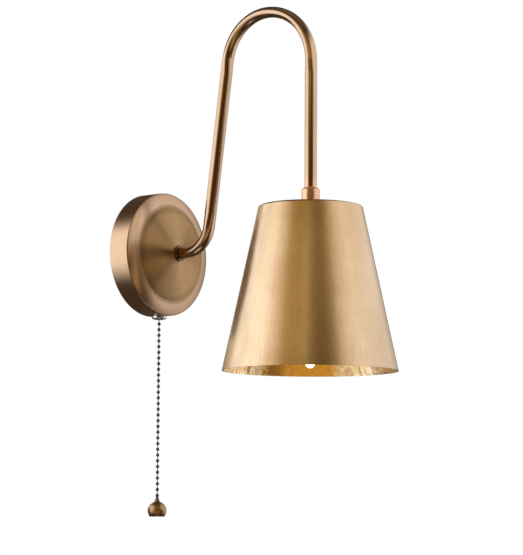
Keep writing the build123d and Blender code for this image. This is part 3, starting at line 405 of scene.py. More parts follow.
def tube_brass(colours, drop_out, foot_z):
    """The arm's brass, which turns to copper over the last few centimetres of the drop: a painted
    reflection of the collar.
    """
    finish = Finish("tube_brass")
    position = finish.place()
    base, clouds = patina(finish, position, colours.tube, colours.canopy_stain, 0.35)
    _, y, z = finish.split(position)
    ragged = finish.noise(position, 90.0, detail=3.0) * 14 * MM
    # painted reflection: the collar's warm copper shown on the last few centimetres of the drop
    painted_reflection_near_foot = 1.0 - (z + ragged - foot_z).step(4 * MM, 26 * MM)
    on_drop = (drop_out + y).math("ABSOLUTE").step(40 * MM, 20 * MM)
    base = finish.mix(painted_reflection_near_foot * on_drop * 0.5, base, colours.copper)
    drawn_out = finish.vector("MULTIPLY", position, (1.0, 1.0, 0.04))
    hair = finish.noise(drawn_out, 2200.0, roughness=0.6)
    return finish.shader(
        base_color=base, metallic=1.0, roughness=0.13 + clouds * 0.06 + hair * 0.05,
        coat_weight=0.3, coat_roughness=0.08, normal=finish.bump(hair, 0.004 * MM, 0.5),
    )


def gold_leaf(colours, sizes):
    """Torn sheets of leaf over a red-brown ground: crinkled, with a painted pale highlight, but for
    one smooth sector that stays deep gold.
    """
    finish = Finish("gold_leaf")
    position = finish.place()
    _, ux, uy, z = finish.about_axis((0.0, 0.0, 0.0))
    drift = finish.noise(position, 95.0, detail=3.0, output="Color")
    torn = finish.vector("MULTIPLY_ADD", drift, (16.0 * MM,) * 3, position)
    scale = 1.0 / sizes.leaf_sheet
    kind, pallor, _ = finish.split(finish.cells(torn, scale, output="Color"))
    edge = finish.cells(torn, scale, "DISTANCE_TO_EDGE")
    ragged = finish.noise(position, 420.0, detail=4.0, roughness=0.65)
    smooth_x, smooth_y = 0.72, 0.69  # the smooth sector's direction from the shade's axis: the far wall that the camera sees through the mouth, left without the painted highlight
    stray = 0.06
    towards = ux * smooth_x + uy * smooth_y + (ragged - 0.5) * stray + (kind - 0.5) * stray
    crinkled = 1.0 - towards.step(0.86, 0.91) * (0.75 + kind * 0.25)
    pleat_count, pleat_run = 16.0, 30.0 * MM
    along = finish.join(ux * pleat_count, uy * pleat_count, z / pleat_run)
    pleats = finish.noise(along, 1.0, roughness=0.6, distortion=1.0)
    folds = abs(finish.noise(torn, 120.0, roughness=0.55) - 0.5) * 2.0
    gap = (1.0 - (edge + (ragged - 0.5) * 0.14).step(0.0, 0.022)) * ragged.step(0.4, 0.55)
    worn = crinkled * pleats.step(0.53, 0.60) * (0.45 + 0.55 * kind.step(0.3, 0.6))
    # painted highlight: pale leaf on the folds of the crinkled leaf
    painted_highlight = crinkled * (0.75 + pallor * 0.25) * (0.5 + folds.step(0.02, 0.2) * 0.5)
    tint = finish.mix(painted_highlight, colours.leaf, colours.leaf_pale)
    ground = (gap * 0.8 + worn).clamp()
    tint = finish.mix(ground * 0.8, tint, colours.bole)
    rough = 0.20 + crinkled * 0.12 + ground * 0.2
    relief = (folds * 0.6 + pleats) * (0.05 + crinkled * 0.95) - ground * 0.3
    return finish.shader(
        base_color=tint, metallic=0.8 - ground * 0.3, roughness=rough,
        normal=finish.bump(relief, 0.9 * MM, 0.6),
    )


def chain_bronze(name, tint, rough):
    """Tarnished bronze, darker in random patches."""
    finish = Finish(name)
    position = finish.place()
    tarnish = finish.noise(position, 520.0, detail=3.0, roughness=0.6)
    base = finish.mix(tarnish.step(0.35, 0.7) * 0.6, tint, darker(tint, 0.45))
    return finish.shader(
        base_color=base, metallic=1.0, roughness=rough + tarnish * 0.16,
        normal=finish.bump(tarnish, 0.01 * MM, 0.4),
    )


def plated_steel(name, tint, rough=0.32, spangle=0.5):
    """Plated pressed steel: a faint spangle and rolling lines."""
    finish = Finish(name)
    position = finish.place()
    x, y, z = finish.split(position)
    along, across = 60.0, 2600.0
    rolled = finish.noise(finish.join(x * along, y * along, z * across), 1.0, roughness=0.6)
    grey, _, _ = finish.split(finish.cells(position, 380.0, output="Color"))
    base = finish.mix(grey * spangle * 0.6 + rolled * 0.25, tint, darker(tint, 0.72))
    return finish.shader(
        base_color=base, metallic=1.0, roughness=rough + grey * 0.06 + rolled * 0.12,
        normal=finish.bump(rolled, 0.006 * MM, 0.5),
    )


def moulded_plastic(name, tint, rough=0.38):
    """Moulded plastic with a fine spark-eroded texture."""
    finish = Finish(name)
    position = finish.place()
    grain = finish.noise(position, 5200.0, roughness=0.6)
    cloud = finish.noise(position, 110.0, detail=3.0)
    base = finish.mix(cloud * 0.35, tint, [min(1.0, c * 1.25 + 0.01) for c in tint])
    return finish.shader(
        base_color=base, roughness=rough + grain * 0.1, normal=finish.bump(grain, 0.02 * MM, 0.35)
    )


def wire_insulation(name, tint, stripe=None):
    """Extruded insulation with a slight gloss, in one colour or with a second along one side."""
    finish = Finish(name)
    position = finish.place()
    ripple = finish.noise(position, 900.0)
    base = finish.mix(ripple * 0.3, tint, darker(tint, 0.7))
    if stripe:
        normal = finish.value("TexCoord", output="Normal")
        side = finish.vector("DOT_PRODUCT", normal, (0.6, 0.8, 0.0))
        base = finish.mix(side.step(-0.05, 0.05), base, stripe)
    return finish.shader(
        base_color=base, roughness=0.33 + ripple * 0.1, normal=finish.bump(ripple, 0.02 * MM, 0.4)
    )


def opal_glass(colours, neck_z, tip_z):
    """Opal glass, lit from inside: brightest round the belly, dimmer at the neck."""
    finish = Finish("opal_glass")
    position = finish.place()
    _, _, z = finish.split(position)
    down = (neck_z - z) / (neck_z - tip_z)
    swirl = finish.noise(position, 90.0)
    lit = down.step(0.0, 0.45) * (0.94 + swirl * 0.12)
    glow = finish.mix(lit, darker(colours.glow, 0.25), colours.glow)
    return finish.shader(
        base_color=finish.mix(swirl * 0.2, colours.opal, colours.glow), roughness=0.16 + swirl * 0.05,
        emission_color=glow, emission_strength=3.0, coat_weight=0.4, coat_roughness=0.05,
    )


def filament_phosphor(colours):
    """The grainy yellow coating of the lamp's sticks."""
    finish = Finish("filament_phosphor")
    grains = finish.noise(finish.place(), 3000.0)
    amber, cream, orange = (1.0, 0.72, 0.2), (0.95, 0.85, 0.5), (1.0, 0.7, 0.3)
    return finish.shader(
        base_color=finish.mix(grains, amber, cream), roughness=0.6,
        emission_color=finish.mix(grains, colours.glow, orange), emission_strength=1.2,
    )


# ---------------------------------------------------------------- mesh making
def through(start, middle, end, steps):
    """Points on the arc through three points in a plane, ends included."""
    (ax, ay), (bx, by), (cx, cy) = start, middle, end
    d = 2 * (ax * (by - cy) + bx * (cy - ay) + cx * (ay - by))
    squares = [x * x + y * y for x, y in (start, middle, end)]
    ox = (squares[0] * (by - cy) + squares[1] * (cy - ay) + squares[2] * (ay - by)) / d
    oy = (squares[0] * (cx - bx) + squares[1] * (ax - cx) + squares[2] * (bx - ax)) / d
    centre = Vector((ox, oy))
    first, last = Vector(start) - centre, Vector(end) - centre
    sweep = first.angle_signed(last)
    return [tuple(centre + Matrix.Rotation(-sweep * i / steps, 2) @ first) for i in range(steps + 1)]


def new_piece(name, vertices, faces, finishes, choice=None):
    """A mesh object with smooth faces, sharp where they meet at more than SHARP_ANGLE."""
    mesh = bpy.data.meshes.new(name)
    mesh.from_pydata(vertices, [], faces)
    for finish in finishes:
        mesh.materials.append(finish)
    mesh.polygons.foreach_set("use_smooth", [True] * len(mesh.polygons))
    if choice:
        mesh.polygons.foreach_set("material_index", choice)
    mesh.validate()
    mesh.set_sharp_from_angle(angle=SHARP_ANGLE)
    piece = bpy.data.objects.new(name, mesh)
    bpy.context.scene.collection.objects.link(piece)
    return piece


def turned(name, outline, segments, finishes, bands=None, ripple=None):
    """Turns a closed outline of (radius, height) about Z. bands gives each span's finish, and
    ripple(radius, height, angle) moves a point in or out."""
    vertices, rings = [], []
    for radius, height in outline:
        if radius < ON_AXIS:
            rings.append([len(vertices)] * segments)
            vertices.append((0.0, 0.0, height))
            continue
        rings.append(range(len(vertices), len(vertices) + segments))
        for i in range(segments):
            angle = FULL_TURN * i / segments
            r = radius + (ripple(radius, height, angle) if ripple else 0.0)
            vertices.append((r * cos(angle), r * sin(angle), height))
    faces, choice = [], []
    for span, lower in enumerate(rings):
        upper = rings[(span + 1) % len(rings)]
        for i in range(segments):
            j = (i + 1) % segments
            corners = list(dict.fromkeys((lower[i], lower[j], upper[j], upper[i])))
            if len(corners) > 2:
                faces.append(corners)
                choice.append(bands[span] if bands else 0)
    return new_piece(name, vertices, faces, finishes, choice)


def drill(piece, centre, direction, radius):
    """Cuts a round hole through a thin wall."""
    low, high, sides = -4 * MM, 4 * MM, 48
    tool = turned("drill", [(0.0, low), (radius, low), (radius, high), (0.0, high)], sides, [])
    tool.matrix_world = standing_on(centre, direction)
    subtract(piece, tool)


def subtract(piece, tool):
    """Cuts a tool out of a piece and removes the tool."""
    cut = piece.modifiers.new("cut", "BOOLEAN")
    cut.operation, cut.solver, cut.object = "DIFFERENCE", "EXACT", tool
    bpy.context.view_layer.update()
    graph = bpy.context.evaluated_depsgraph_get()
    mesh = bpy.data.meshes.new_from_object(piece.evaluated_get(graph))
    piece.modifiers.clear()
    piece.data = mesh
    mesh.set_sharp_from_angle(angle=SHARP_ANGLE)
    bpy.data.objects.remove(tool)


def fitted(piece, body, slot, *nodes):
    """Puts a finished piece on its body and in place of the plain nodes. The slot is not used."""
    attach(piece, body)
    if nodes:
        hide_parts(*nodes)


def standing_on(point, direction):
    """Carries a piece turned about Z to a point, with its own Z along a direction."""
    turn = Vector((0, 0, 1)).rotation_difference(Vector(direction)).to_matrix().to_4x4()
    return Matrix.Translation(point) @ turn


def threaded(name, radius, bore, low, high, pitch, depth, finish, segments=48, rounded=False):
    """A threaded rod or tube about Z, with its crests at radius and chamfered ends."""
    steps = max(2, ceil((high - low) / pitch * 8))
    heights = [low + (high - low) * i / steps for i in range(steps + 1)]

    def groove(r, height, angle):
        if r <= radius - depth:
            return 0.0
        phase = (height / pitch - angle / FULL_TURN) % 1.0
        valley = (1 - cos(FULL_TURN * phase)) / 2 if rounded else 1 - abs(2 * phase - 1)
        to_end = min(height - low, high - height)
        return -depth * (max(valley, 1 - to_end / pitch) if to_end < pitch else valley)

    outline = [(radius, z) for z in heights] + [(bore, high), (bore, low)]
    return turned(name, outline, segments, [finish], ripple=groove)


def above(centre):
    """Carries a piece drawn about the frame's Z to stand over or under a point."""
    return Matrix.Translation((centre.x, centre.y, 0.0))


def dress(finish, *nodes):
    """Gives carried-over nodes their finish."""
    for node in nodes:
        for holder in frame["nodes"][node].material_slots:
            holder.material = finish


def chosen(context):
    """The sizes and the colours that the panel shows."""
    return context.scene.wall_light_sizes, context.scene.wall_light_colours


# ---------------------------------------------------------------- operators: the canopy
def canopy_outline(sizes, radius, dome, inset):
    """The dish's outside, or its inside when inset by the wall, from the wall to the middle."""
    r, rim, top = radius - inset, sizes.rim_depth - inset, dome - inset
    crease_r, crease_z = r - sizes.band_width, rim + sizes.band_rise
    foot_r, foot_z = crease_r - sizes.crease_width, crease_z + sizes.crease_rise
    least_corner = 0.3 * MM
    corner = max(sizes.corner_radius - inset / 2, least_corner)
    cut = corner * (1 - cos(pi / 4))
    band_swell, crease_dip = 0.62, 0.22  # share of each rise that is reached halfway
    band_mid = ((crease_r + r - corner) / 2, rim + sizes.band_rise * band_swell)
    crease_mid = (crease_r - sizes.crease_width * 0.5, crease_z + sizes.crease_rise * crease_dip)
    dome_mid = ((foot_r + sizes.land_radius) / 2, (foot_z + top) / 2 + sizes.dome_bulge)
    return [
        [(r, rim * i / 8) for i in range(8)],
        through((r, rim - corner), (r - cut, rim - cut), (r - corner, rim), 6)[:-1],
        through((r - corner, rim), band_mid, (crease_r, crease_z), 16)[:-1],
        through((crease_r, crease_z), crease_mid, (foot_r, foot_z), 8)[:-1],
        through((foot_r, foot_z), dome_mid, (sizes.land_radius, top), 36),
    ]


class WALL_LIGHT_OT_canopy(bpy.types.Operator):
    """Spun canopy: rim, band, crease and dome, with its holes and its unlacquered inside"""

    bl_idname = "wall_light.canopy"
    bl_label = "Canopy"

    def execute(self, context):
        sizes, colours = chosen(context)
        low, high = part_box("canopy")
        radius, dome = high.x, -low.y
        crease = radius - sizes.band_width
        outside = canopy_outline(sizes, radius, dome, 0.0)
        hole = [(M10_HOLE_R, dome), (M10_HOLE_R, dome - sizes.canopy_wall)]
        inside = sum(canopy_outline(sizes, radius, dome, sizes.canopy_wall), [])[::-1]
        satin, brushed, bare = 0, 1, 2
        choice = (satin, satin, satin, brushed, brushed, bare, bare)
        outline, bands = [], []
        for part, band in zip((*outside, hole, inside), choice):
            outline += part
            bands += [band] * len(part)
        finishes = [
            canopy_brass(colours, sizes, "canopy_satin", colours.canopy, 0.2, 0.20, (
                # painted shade: a dark line at the rim's corner and a soft dark crease
                (radius - sizes.corner_radius, 0.7 * MM, 0.7 * MM, 0.8),
                (crease, 0.5 * MM, 3.8 * MM, 0.6),
            )),
            canopy_brass(colours, sizes, "canopy_dome", colours.dome, 1.0, 0.36, (
                # painted shade round the dome's foot
                (crease - sizes.crease_width, 7.0 * MM, 2.0 * MM, 0.3),
            )),
            canopy_brass(colours, sizes, "canopy_inside", colours.canopy, 0.6, 0.36),
        ]
        dish = turned("canopy_dish", outline, sizes.turns, finishes, bands)
        # Drawn about Z with the wall at Z = 0: the nozzle leaves at -Y of the drawing, which
        # points down once the dish faces out from the wall.
        for node, across, hole_r in (
            ("switch_nozzle", (0, -1, 0), M10_HOLE_R),
            ("canopy_side_screw", (1, 0, 0), SIDE_SCREW_HOLE_R),
        ):
            out = -sum(corner.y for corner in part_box(node)) / 2
            drill(dish, Vector(across) * radius + Vector((0, 0, out)), across, hole_r)
        dish.matrix_world = Matrix.Rotation(pi / 2, 4, "X")
        fitted(dish, "fixture", "antique_brass", "canopy")
        dress(polished_brass("screw_brass", colours.canopy, colours.canopy_stain, 0.24),
              "canopy_side_screw")
        dress(chain_bronze("ring_bronze", darker(colours.canopy, 0.5), 0.2), "arm_base_ring")
        return {"FINISHED"}


# ---------------------------------------------------------------- operators: arm and fixings
class WALL_LIGHT_OT_arm(bpy.types.Operator):
    """Bent arm, its collar and end ring, and the threaded nipples and nuts that hold it"""

    bl_idname = "wall_light.arm"
    bl_label = "Arm"

    def execute(self, context):
        sizes, colours = chosen(context)
        ring_low, ring_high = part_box("tube_end_ring")
        drop_out = -(ring_low.y + ring_high.y) / 2
        dress(tube_brass(colours, drop_out, ring_high.z), "arm_tube")
        copper = polished_brass(
            "copper_brass", colours.copper, darker(colours.copper, 0.6), 0.20, metallic=0.85
        )
        dress(copper, "shade_collar", "tube_end_ring")
        zinc = plated_steel("zinc_steel", colours.zinc)
        dress(zinc, "arm_lock_washer", "arm_nut", "shade_nut")
        thread_depth = 0.5 * MM
        for node, axis, across, pointing in (
            ("arm_root_nipple", 1, 2, (0, -1, 0)), ("holder_nipple", 2, 0, (0, 0, 1)),
        ):
            low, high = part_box(node)
            half = (high[axis] - low[axis]) / 2
            piece = threaded(
                node + "_thread", (high[across] - low[across]) / 2, NIPPLE_BORE_R, -half, half,
                sizes.thread_pitch, thread_depth, zinc,
            )
            piece.matrix_world = standing_on((low + high) / 2, pointing)
            fitted(piece, "fixture", "zinc_steel", node)
        dress(wire_insulation("flex_sheath", (0.66, 0.60, 0.48)), "arm_flex")
        return {"FINISHED"}


# ---------------------------------------------------------------- operators: shade
class WALL_LIGHT_OT_shade(bpy.types.Operator):
    """Brushed cone shade, and the gold leaf laid inside it"""

    bl_idname = "wall_light.shade"
    bl_label = "Shade and gold leaf"

    def execute(self, context):
        sizes, colours = chosen(context)
        low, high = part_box("shade")
        axis = (low + high) / 2
        dress(shade_brass(colours, sizes, (axis.x, axis.y, 0.0), high.z), "shade")
        self.leaf(sizes, colours, axis)
        return {"FINISHED"}

    def leaf(self, sizes, colours, axis):
        """A thin skin inside the cone whose face has the leaf's own laps and folds."""
        low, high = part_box("gold_leaf_lining")
        mouth_r = (high.x - low.x) / 2
        top_r = mouth_r - CONE_SLOPE * (high.z - low.z)
        skin = 0.2 * MM
        rows, disc_rows, segments = 150, 24, 320
        face = [
            (mouth_r - skin + (top_r - mouth_r) * i / rows, low.z + (high.z - skin - low.z) * i / rows)
            for i in range(rows + 1)
        ]
        hole = 16.0 * MM
        disc = [
            (top_r - skin - (top_r - skin - hole) * i / disc_rows, high.z - skin)
            for i in range(1, disc_rows + 1)
        ]
        back = [(hole, high.z), (top_r, high.z), (mouth_r, low.z)]
        foot_margin, top_margin = 0.5 * MM, 1.0 * MM
        fold_size, crumple_size = 9 * MM, 2.2 * MM

        def laid(radius, height, angle):
            flat = height < low.z + foot_margin or height > high.z - top_margin
            if flat or radius > mouth_r - skin / 2:
                return 0.0
            point = Vector((radius * cos(angle), radius * sin(angle), height))
            fold = 1 - abs(noise.noise(point / fold_size)) * 2
            crumple = noise.noise(point / crumple_size)
            return -sizes.leaf_thickness * max(0.0, 0.7 * fold + 0.3 * crumple)

        outline = [*back[::-1], *disc[::-1], *face[::-1]]
        piece = turned("leaf_lining", outline, segments, [gold_leaf(colours, sizes)], ripple=laid)
        piece.matrix_world = above(axis)
        fitted(piece, "fixture", "gold_leaf", "gold_leaf_lining")


# ---------------------------------------------------------------- operators: lamp
class WALL_LIGHT_OT_lamp(bpy.types.Operator):
    """Lampholder with its contacts, and the opal candle lamp"""

    bl_idname = "wall_light.lamp"
    bl_label = "Lampholder and lamp"

    def execute(self, context):
        sizes, colours = chosen(context)
        dress(moulded_plastic("holder_plastic", (0.035, 0.035, 0.036)),
              "lampholder_cap", "lampholder_body")
        contact = chain_bronze("contact_brass", colours.bare_brass, 0.26)
        dress(contact, "lampholder_centre_contact", "lampholder_screw_shell")
        nickel = plated_steel("cap_nickel", colours.nickel, 0.2, 0.1)
        low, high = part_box("lamp_cap")
        centre = (low + high) / 2
        on_lamp_axis = above(centre)
        contact_h, contact_r, contact_step = 4.1 * MM, 2.4 * MM, 0.8 * MM
        shell_top = high.z - contact_h
        shell_r = (high.x - low.x) / 2 - 0.3 * MM
        thread_depth, segments = 0.55 * MM, 64
        screw = threaded(
            "lamp_cap_thread", shell_r, 0.0, low.z, shell_top, sizes.lamp_pitch, thread_depth,
            nickel, segments, rounded=True,
        )
        screw.matrix_world = on_lamp_axis
        foot = turned(
            "lamp_contact",
            [(0, shell_top), (shell_r - 1 * MM, shell_top), (contact_r, high.z - contact_step),
             (contact_r - contact_step / 2, high.z), (0, high.z)],
            segments, [moulded_plastic("cap_glass", (0.05, 0.05, 0.07), 0.15), nickel],
            [0, 0, 1, 1, 1],
        )
        foot.matrix_world = on_lamp_axis
        fitted(screw, "fixture", "bright_nickel", "lamp_cap")
        fitted(foot, "fixture", "bright_nickel")
        glass_low, glass_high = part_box("lamp_glass")
        neck_h = 10 * MM
        dress(opal_glass(colours, glass_high.z - neck_h, glass_low.z), "lamp_glass")
        dress(filament_phosphor(colours), "lamp_filaments", "lamp_stem")
        return {"FINISHED"}


# ---------------------------------------------------------------- operators: inside the canopy
class WALL_LIGHT_OT_fixings(bpy.types.Operator):
    """Wall bracket, terminal block, leads and the small screws"""

    bl_idname = "wall_light.fixings"
    bl_label = "Bracket and wiring"

    def execute(self, context):
        colours = context.scene.wall_light_colours
        dress(plated_steel("bracket_zinc", colours.zinc, 0.36, 0.8),
              "wall_bracket", "canopy_locating_pin", "terminal_block_screw")
        dress(chain_bronze("terminal_brass", colours.bare_brass, 0.25),
              "earth_screw", "terminal_screws")
        dress(moulded_plastic("block_plastic", (0.78, 0.77, 0.73), 0.3), "terminal_block")
        dress(wire_insulation("brown_pvc", (0.20, 0.075, 0.03)), "live_lead", "switched_lead")
        dress(wire_insulation("blue_pvc", (0.03, 0.14, 0.50)), "neutral_lead")
        dress(wire_insulation("green_pvc", (0.10, 0.36, 0.06), (0.85, 0.72, 0.04)), "earth_lead")
        return {"FINISHED"}


# ---------------------------------------------------------------- operators: switch and chain
class WALL_LIGHT_OT_switch(bpy.types.Operator):
    """Pull switch: housing, rotor, plunger, spring, threaded nozzle and nuts"""

    bl_idname = "wall_light.switch"
    bl_label = "Pull switch"

    def execute(self, context):
        sizes, colours = chosen(context)
        dress(moulded_plastic("switch_plastic", (0.03, 0.03, 0.03)), "switch_housing", "switch_cover")
        dress(moulded_plastic("rotor_plastic", (0.80, 0.79, 0.75), 0.3),
              "switch_rotor", "switch_plunger")
        dress(chain_bronze("switch_brass", colours.bare_brass, 0.25), "switch_contacts")
        self.spring(plated_steel("spring_wire", (0.5, 0.5, 0.52), 0.25, 0.1))
        nickel = plated_steel("nut_nickel", colours.nickel, 0.18, 0.1)
        dress(nickel, "switch_outer_nut")
        dress(plated_steel("thin_nut_zinc", colours.zinc, 0.3, 0.4), "switch_inner_nut")
        low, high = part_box("switch_nozzle")
        centre = (low + high) / 2
        thread_depth = 0.45 * MM
        thread = threaded(
            "nozzle_thread", (high.x - low.x) / 2, NOZZLE_BORE_R, low.z, high.z,
            sizes.thread_pitch, thread_depth, nickel,
        )
        thread.matrix_world = above(centre)
        fitted(thread, "fixture", "bright_nickel", "switch_nozzle")
        return {"FINISHED"}

    def spring(self, finish):
        """The plunger's return spring, a coil drawn at its length at rest."""
        low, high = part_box("switch_return_spring")
        wire, turns = 0.25 * MM, 5
        coil = (high.x - low.x) / 2 - wire
        foot, rise = low.z + wire, high.z - low.z - 2 * wire
        steps, sides = turns * 32, 12
        climb = rise / (turns * FULL_TURN * coil)
        points, faces = [], []
        for i in range(steps + 1):
            turn = FULL_TURN * turns * i / steps
            out, along = Vector((cos(turn), sin(turn), 0.0)), Vector((-sin(turn), cos(turn), climb))
            along.normalize()
            up = along.cross(out)
            centre = out * coil + Vector((0.0, 0.0, foot + rise * i / steps))
            for j in range(sides):
                angle = FULL_TURN * j / sides
                points.append(centre + (out * cos(angle) + up * sin(angle)) * wire)
                if i:
                    k = (j + 1) % sides
                    start = (i - 1) * sides
                    faces.append((start + j, start + k, start + sides + k, start + sides + j))
        faces += [tuple(range(sides))[::-1], tuple(range(steps * sides, (steps + 1) * sides))]
        piece = new_piece("return_spring_coil", points, faces, [finish])
        middle = (low + high) / 2
        piece.matrix_world = above(middle)
        fitted(piece, "fixture", "spring_steel", "switch_return_spring")
        pull = next(joint for joint in frame["joints"] if joint["name"] == "chain_pull")
        keep = (high.z - low.z - pull["range_m"][1]) / (high.z - low.z)
        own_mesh(piece)


class WALL_LIGHT_OT_chain(bpy.types.Operator):
    """Ball chain, its connector and the turned pull"""

    bl_idname = "wall_light.chain"
    bl_label = "Chain and pull"

    def execute(self, context):
        colours = context.scene.wall_light_colours
        dress(chain_bronze("chain_bronze", colours.bronze, 0.24),
              "nozzle_chain", "pivot_bead_upper", "swivel_link", "pivot_bead_lower",
              "chain_links", "chain_beads", "ball_connector")
        dress(polished_brass("pull_brass", colours.pull, darker(colours.pull, 0.6), 0.3, cover=0.12),
              "pull_ball")
        return {"FINISHED"}


# ---------------------------------------------------------------- operators: the studio
def around(azimuth, elevation, distance, centre):
    """A point seen from centre at an azimuth and elevation, in degrees."""
    a, e = radians(azimuth), radians(elevation)
    return centre + distance * Vector((sin(a) * cos(e), -cos(a) * cos(e), sin(e)))


def facing(point, target):
    """A pose at point whose -Z looks at target, with Y as near upright as it can be."""
    turn = (target - point).to_track_quat("-Z", "Y").to_matrix().to_4x4()
    return Matrix.Translation(point) @ turn


class WALL_LIGHT_OT_studio(bpy.types.Operator):
    """Camera, soft boxes, bent cards, pale floor and surroundings"""

    bl_idname = "wall_light.studio"
    bl_label = "Studio"

    def execute(self, context):
        studio = context.scene.wall_light_studio
        context.scene.view_settings.view_transform = "Standard"
        low, high = cad_box
        self.centre = (low + high) / 2
        self.camera(context, studio)
        self.lamps(studio)
        self.floor(studio, low.z - studio.floor_drop)
        self.surroundings(context, studio)
        return {"FINISHED"}

    def camera(self, context, studio):
        """Looks from the fitted place, turned so that the frame's origin falls on its pixel."""
        azimuth, elevation = radians(studio.azimuth), radians(studio.elevation)
        back = Vector((
            sin(azimuth) * cos(elevation), -cos(azimuth) * cos(elevation), sin(elevation)
        ))
        right = (-back).cross(Vector((0, 0, 1))).normalized()
        up = right.cross(-back)
        pitch = atan((PHOTO_HEIGHT / 2 - studio.origin_y) / studio.focal)
        yaw = atan((studio.origin_x - PHOTO_WIDTH / 2) / studio.focal * cos(pitch))
        ahead = -back * cos(yaw) - right * sin(yaw)
        right = right * cos(yaw) - back * sin(yaw)
        ahead, up = ahead * cos(pitch) - up * sin(pitch), up * cos(pitch) + ahead * sin(pitch)
        roll = radians(studio.roll)
        right, up = right * cos(roll) + up * sin(roll), up * cos(roll) - right * sin(roll)
        lens = bpy.data.cameras.new("photo_camera")
        lens.sensor_width = 36.0
        lens.lens = studio.focal * lens.sensor_width / PHOTO_HEIGHT
        lens.clip_end = 100.0
        camera = bpy.data.objects.new("photo_camera", lens)
        turn = Matrix((right, up, -ahead)).transposed().to_4x4()
        camera.matrix_world = Matrix.Translation(back * studio.distance) @ turn
        context.scene.collection.objects.link(camera)
        context.scene.camera = camera

    def softbox(self, name, azimuth, elevation, distance, width, height, level):
        """A lamp for what isn't polished. Polished metal shows the bent cards instead."""
        lamp = bpy.data.lights.new(name, "AREA")
        lamp.shape, lamp.size, lamp.size_y = "RECTANGLE", width, height
        lamp.energy = level * pi * width * height
        holder = bpy.data.objects.new(name, lamp)
        point = around(azimuth, elevation, distance, self.centre)
        holder.matrix_world = facing(point, self.centre)
        holder.visible_camera = holder.visible_glossy = False
        bpy.context.scene.collection.objects.link(holder)

    def card(self, name, azimuths, stops):
        """A bent card round the object, between two azimuths in degrees, that only polished
        surfaces show. Its stops, each (elevation, colour), rise from its foot to its top."""
        finish = Finish(name)
        _, _, z = finish.split(finish.place())
        height = (z - self.centre.z) / (2 * CARD_DISTANCE) + 0.5
        peak = max(max(colour_) for _, colour_ in stops)
        ramp = finish.node("ValToRGB", None, {"Fac": height})
        while len(ramp.color_ramp.elements) < len(stops):
            ramp.color_ramp.elements.new(1.0)
        for element, (elevation, colour_) in zip(ramp.color_ramp.elements, stops):
            element.position = (sin(radians(elevation)) + 1) / 2
            element.color = rgba([c / peak for c in colour_])
        shown = {"Color": Wire(finish, ramp.outputs["Color"]), "Strength": peak}
        glow = finish.value("Emission", None, shown, "Emission")
        finish.node("OutputMaterial", None, {"Surface": glow})
        low, high = stops[0][0], stops[-1][0]
        columns = max(2, ceil((azimuths[1] - azimuths[0]) / CARD_STEP))
        rows = max(2, ceil((high - low) / CARD_STEP))
        points, faces = [], []
        for i in range(columns + 1):
            for j in range(rows + 1):
                azimuth = azimuths[0] + (azimuths[1] - azimuths[0]) * i / columns
                elevation = low + (high - low) * j / rows
                points.append(around(azimuth, elevation, CARD_DISTANCE, self.centre))
                if i and j:
                    corner, left = len(points) - 2, len(points) - 2 - rows
                    faces.append((left - 1, corner, corner + 1, left))
        card = new_piece(name, points, faces, [finish.material])
        card.visible_camera = card.visible_diffuse = card.visible_shadow = False
        card.visible_transmission = False

    def lamps(self, studio):
        view, level = studio.azimuth, studio.softbox
        self.softbox("lamp_left", view - 84, 12, 1.5, 2.2, 2.2, level)
        self.softbox("lamp_right", view + 92, 12, 1.5, 2.2, 2.2, level * 0.7)
        self.softbox("lamp_top", view + 20, 80, 1.6, 1.4, 1.4, level * 0.6)
        brown, black = (0.10, 0.07, 0.05), (0.10, 0.05, 0.022)
        gold = (0.55, 0.42, 0.22)
        low, top = -75, 60
        last = SURROUND[-1][1] - 360
        for name, end, peak, warmth in SURROUND:
            lit = [peak * c for c in (1.0, 1.08 - 0.36 * warmth, 1.3 - 1.05 * warmth)]
            soft = [c * 0.85 for c in lit]
            bounce = ((-52, brown), (-38, gold), (-15, gold), (-6, black))
            stops = {
                "left_edge": ((0, brown), (8, lit), (25, lit), (30, brown)),
                "left": ((-36, brown), (-13, lit), (32, lit), (52, brown)),
                "front": (*bounce, (15, black), (23, lit)),
                "dark": (*bounce, (15, black), (30, lit)),
                "right": ((-30, brown), (3, black), (6, soft), (20, lit), (42, lit)),
                "far_right": ((-40, brown), (-22, soft), (8, soft), (20, lit), (42, lit)),
                "back": ((-30, brown), (-8, lit), (22, lit), (36, brown)),
            }[name.rstrip("0123456789")]
            azimuths = (view + last, view + end)
            self.card("card_" + name, azimuths, ((low, brown), *stops, (top, brown)))
            last = end
        self.card("card_ceiling", (-180, 180), ((top, brown), (90, (0.28, 0.22, 0.18))))

    def floor(self, studio, height):
        """A wide pale floor that keeps the soft shadow and is nearly white to the camera."""
        finish = Finish("studio_floor")
        seen = self.seen(finish)
        dust = finish.noise(finish.place(), 1.5, detail=3.0)
        paint = finish.mix(dust * 0.4, (0.42, 0.42, 0.42), (0.45, 0.45, 0.45))
        diffuse = finish.value("BsdfDiffuse", None, {"Color": paint}, "BSDF")
        away = finish.vector("LENGTH", finish.place()).step(FLOOR_NEAR, FLOOR_RADIUS)
        lift_colour = finish.mix(away, (FLOOR_LIFT,) * 3, (FLOOR_FAR_LIFT,) * 3)
        lift = finish.value("Emission", None, {"Color": lift_colour}, "Emission")
        both = finish.value("AddShader", None, {"Shader": diffuse, "Shader_001": lift}, "Shader")
        unlit = finish.value("BsdfDiffuse", None, {"Color": rgba((0.8,) * 3)}, "BSDF")
        mixed = finish.value(
            "MixShader", None, {"Fac": seen, "Shader": unlit, "Shader_001": both}, "Shader"
        )
        finish.node("OutputMaterial", None, {"Surface": mixed})
        rim = [(FLOOR_RADIUS * cos(radians(a)), FLOOR_RADIUS * sin(radians(a)), 0.0)
               for a in range(0, 360, 5)]
        floor = new_piece("studio_floor", rim, [range(len(rim))], [finish.material])
        floor.location = (self.centre.x, self.centre.y, height)

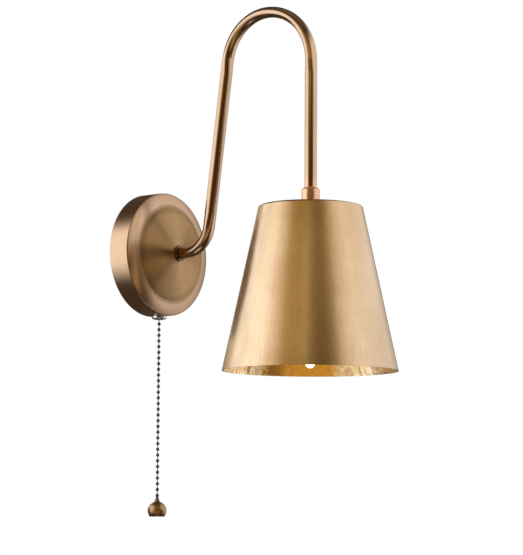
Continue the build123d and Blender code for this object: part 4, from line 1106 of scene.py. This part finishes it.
    @staticmethod
    def seen(finish):
        """1 for what the camera, polished metal and glass see, 0 for what lights the object."""
        path = finish.node("LightPath")
        rays = [Wire(finish, Finish.pick(path.outputs, name + " Ray"))
                for name in ("Is Camera", "Is Glossy", "Is Transmission")]
        return (rays[0] + rays[1] + rays[2]).clamp()

    def surroundings(self, context, studio):
        sky = Finish("studio_world", "worlds")
        context.scene.world = sky.material
        level = self.seen(sky)
        strength = level + (1.0 - level) * studio.ambient
        background = sky.value(
            "Background", None, {"Color": (1, 1, 1, 1), "Strength": strength}, "Background"
        )
        sky.node("OutputWorld", None, {"Surface": background})


class WALL_LIGHT_PT_panel(bpy.types.Panel):
    """Lists the steps and the values that they use"""

    bl_idname = "WALL_LIGHT_PT_panel"
    bl_label = "Wall Light"
    bl_space_type = "VIEW_3D"
    bl_region_type = "UI"
    bl_category = "Wall Light"

    def draw(self, context):
        for step in STEPS:
            self.layout.operator(step.bl_idname)
        for group in ("wall_light_sizes", "wall_light_colours", "wall_light_studio"):
            values = getattr(context.scene, group)
            box = self.layout.box()
            for name in values.__annotations__:
                box.prop(values, name)


# ---------------------------------------------------------------- running it
STEPS = (
    WALL_LIGHT_OT_studio, WALL_LIGHT_OT_canopy, WALL_LIGHT_OT_arm, WALL_LIGHT_OT_shade,
    WALL_LIGHT_OT_lamp, WALL_LIGHT_OT_fixings, WALL_LIGHT_OT_switch, WALL_LIGHT_OT_chain,
)
GROUPS = {
    "wall_light_sizes": WallLightSizes,
    "wall_light_colours": WallLightColours,
    "wall_light_studio": WallLightStudio,
}


def register():
    for group in (*GROUPS.values(), *STEPS, WALL_LIGHT_PT_panel):
        bpy.utils.register_class(group)
    for name, group in GROUPS.items():
        setattr(bpy.types.Scene, name, PointerProperty(type=group))


def unregister():
    for name in GROUPS:
        delattr(bpy.types.Scene, name)
    for group in reversed((*GROUPS.values(), *STEPS, WALL_LIGHT_PT_panel)):
        bpy.utils.unregister_class(group)


def main():
    register()
    for step in STEPS:
        family, name = step.bl_idname.split(".")
        getattr(getattr(bpy.ops, family), name)()


if __name__ == "__main__":
    main()
